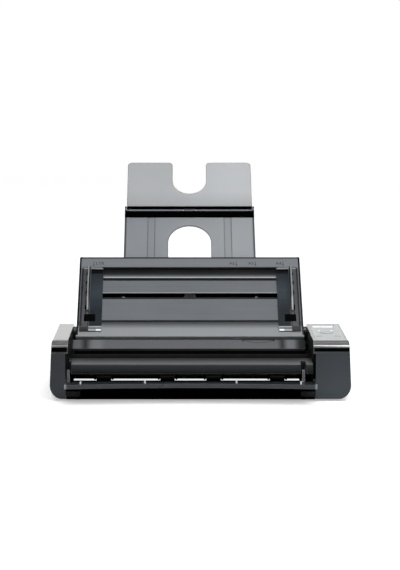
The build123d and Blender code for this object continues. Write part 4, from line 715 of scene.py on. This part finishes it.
# Clips along the fences of the side guides
for side, body in ((-1, "left_guide"), (1, "right_guide")):
    clips = bmesh.new()
    for u, length in ((40.0, 6.0), (60.0, 3.4), (74.0, 3.4), (86.0, 2.4)):
        spot = turned(tray_place(side * 114.9, u, 1.5), ACROSS, TRAY_UP, TRAY_OUT)
        raised(clips, [rounded(1.6, length, 0.5)], 0.9, spot)
    piece(body + "_clips", clips, pad_black, body)

# Studio floor, whose own light only the camera, reflections and glass see
FLOOR_HALF = 20
floor_shade = Shade("floor_white")
paper_white = floor_shade.mix(floor_shade.noise(0.7), (0.80, 0.80, 0.80, 1.0),
                              (0.82, 0.82, 0.82, 1.0))
floor_shade.feed(floor_shade.shader.inputs["Base Color"], paper_white)
floor_shade.set(Roughness=0.9, Specular_IOR_Level=0.0, Emission_Color=(1, 1, 1, 1))


def shown(made):
    """1 for what the camera, a reflection or a glass sees, 0 for light on the object."""
    paths = made.node("ShaderNodeLightPath").outputs
    seen = made.math("ADD", paths["Is Camera Ray"], paths["Is Glossy Ray"], True)
    return made.math("ADD", seen, paths["Is Transmission Ray"], True)


fill = floor_shade.spread(floor_shade.vector_sum("LENGTH"), 0.7, 4.0, 0.42, 0.85)
floor_shade.feed(floor_shade.shader.inputs["Emission Strength"],
                 floor_shade.times(shown(floor_shade), fill))
bm = bmesh.new()
bmesh.ops.create_grid(bm, x_segments=8, y_segments=8, size=FLOOR_HALF)
added("floor", meshed("floor", bm), floor_shade)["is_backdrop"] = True

# Dark canopy that only reflections see: an arc over the part, in degrees and metres
CANOPY_START, CANOPY_SWEEP, CANOPY_STEPS = 1, 142, 32
CANOPY_RADIUS, CANOPY_HALF = 3.4, 5.0
canopy_shade = Shade("canopy_black")
canopy_shade.set(Base_Color=(0.01, 0.01, 0.01, 1.0), Roughness=1.0, Specular_IOR_Level=0.0)
bm = bmesh.new()
rows = []
for step in range(CANOPY_STEPS + 1):
    lift = math.radians(CANOPY_START + CANOPY_SWEEP * step / CANOPY_STEPS)
    y, z = -CANOPY_RADIUS * math.cos(lift), CANOPY_RADIUS * math.sin(lift)
    rows.append([bm.verts.new((x, y, z)) for x in (-CANOPY_HALF, CANOPY_HALF)])
for lower_row, upper_row in zip(rows, rows[1:]):
    bm.faces.new((lower_row[0], lower_row[1], upper_row[1], upper_row[0]))
canopy = added("canopy", meshed("canopy", bm), canopy_shade)
canopy.visible_camera = False
canopy.visible_diffuse = False
canopy.visible_shadow = False
canopy.visible_transmission = False
canopy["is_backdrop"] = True

# Lamps: where each stands from the part's middle, its size in metres and its watts
middle = place(0, 50, 40)
lamps = (("front_softbox", (0.25, -0.80, 1.20), (1.7, 1.2), 24.0, True),
         ("back_softbox", (-0.2, 1.3, 1.5), (1.8, 0.8), 9.0, True),
         ("right_strip", (0.50, -0.95, 0.95), (0.5, 0.45), 21.0, False),
         ("left_strip", (-0.45, -0.95, 0.95), (0.5, 0.45), 4.6, False))
for name, away, (width, depth), watts, on_matt in lamps:
    data = bpy.data.lights.new(name, "AREA")
    data.shape = "RECTANGLE"
    data.size, data.size_y = width, depth
    data.energy = watts
    lamp = bpy.data.objects.new(name, data)
    bpy.context.scene.collection.objects.link(lamp)
    lamp.location = middle + Vector(away)
    lamp.rotation_euler = (middle - lamp.location).to_track_quat("-Z", "Y").to_euler()
    lamp.visible_diffuse = on_matt

# World: white for what the camera, a reflection or a glass sees, dimmer as light on the object
WORLD_LIGHT = 0.34
world = bpy.data.worlds.new("studio")
bpy.context.scene.world = world
world.use_nodes = True
tree = world.node_tree
paths = tree.nodes.new("ShaderNodeLightPath")
seen = paths.outputs["Is Camera Ray"]
for ray in ("Is Glossy Ray", "Is Transmission Ray"):
    total = tree.nodes.new("ShaderNodeMath")
    total.operation = "ADD"
    total.use_clamp = True
    tree.links.new(seen, total.inputs[0])
    tree.links.new(paths.outputs[ray], total.inputs[1])
    seen = total.outputs[0]
level = tree.nodes.new("ShaderNodeMapRange")
level.inputs[3].default_value = WORLD_LIGHT
level.inputs[4].default_value = 1.0
tree.links.new(seen, level.inputs[0])
tree.links.new(level.outputs[0], tree.nodes["Background"].inputs["Strength"])
tree.nodes["Background"].inputs["Color"].default_value = (1, 1, 1, 1)

# Camera at the photograph's view: its height and focal length in pixels, and how it looks down
PHOTO_HEIGHT, FOCAL, SHIFT = 570, 1500, 20
LOOKS_DOWN = math.asin(0.1609)
SENSOR = 36
camera_data = bpy.data.cameras.new("photo_camera")
camera = bpy.data.objects.new("photo_camera", camera_data)
bpy.context.scene.collection.objects.link(camera)
camera_data.lens = FOCAL / PHOTO_HEIGHT * SENSOR
camera_data.sensor_width = SENSOR
camera_data.shift_x = SHIFT / PHOTO_HEIGHT
camera_data.clip_start, camera_data.clip_end = 0.05, 50
camera.location = place(-11, -1521, 371)
camera.rotation_euler = (math.pi / 2 - LOOKS_DOWN, 0, 0)
bpy.context.scene.camera = camera
bpy.context.scene.view_settings.view_transform = "Standard"

low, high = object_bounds()
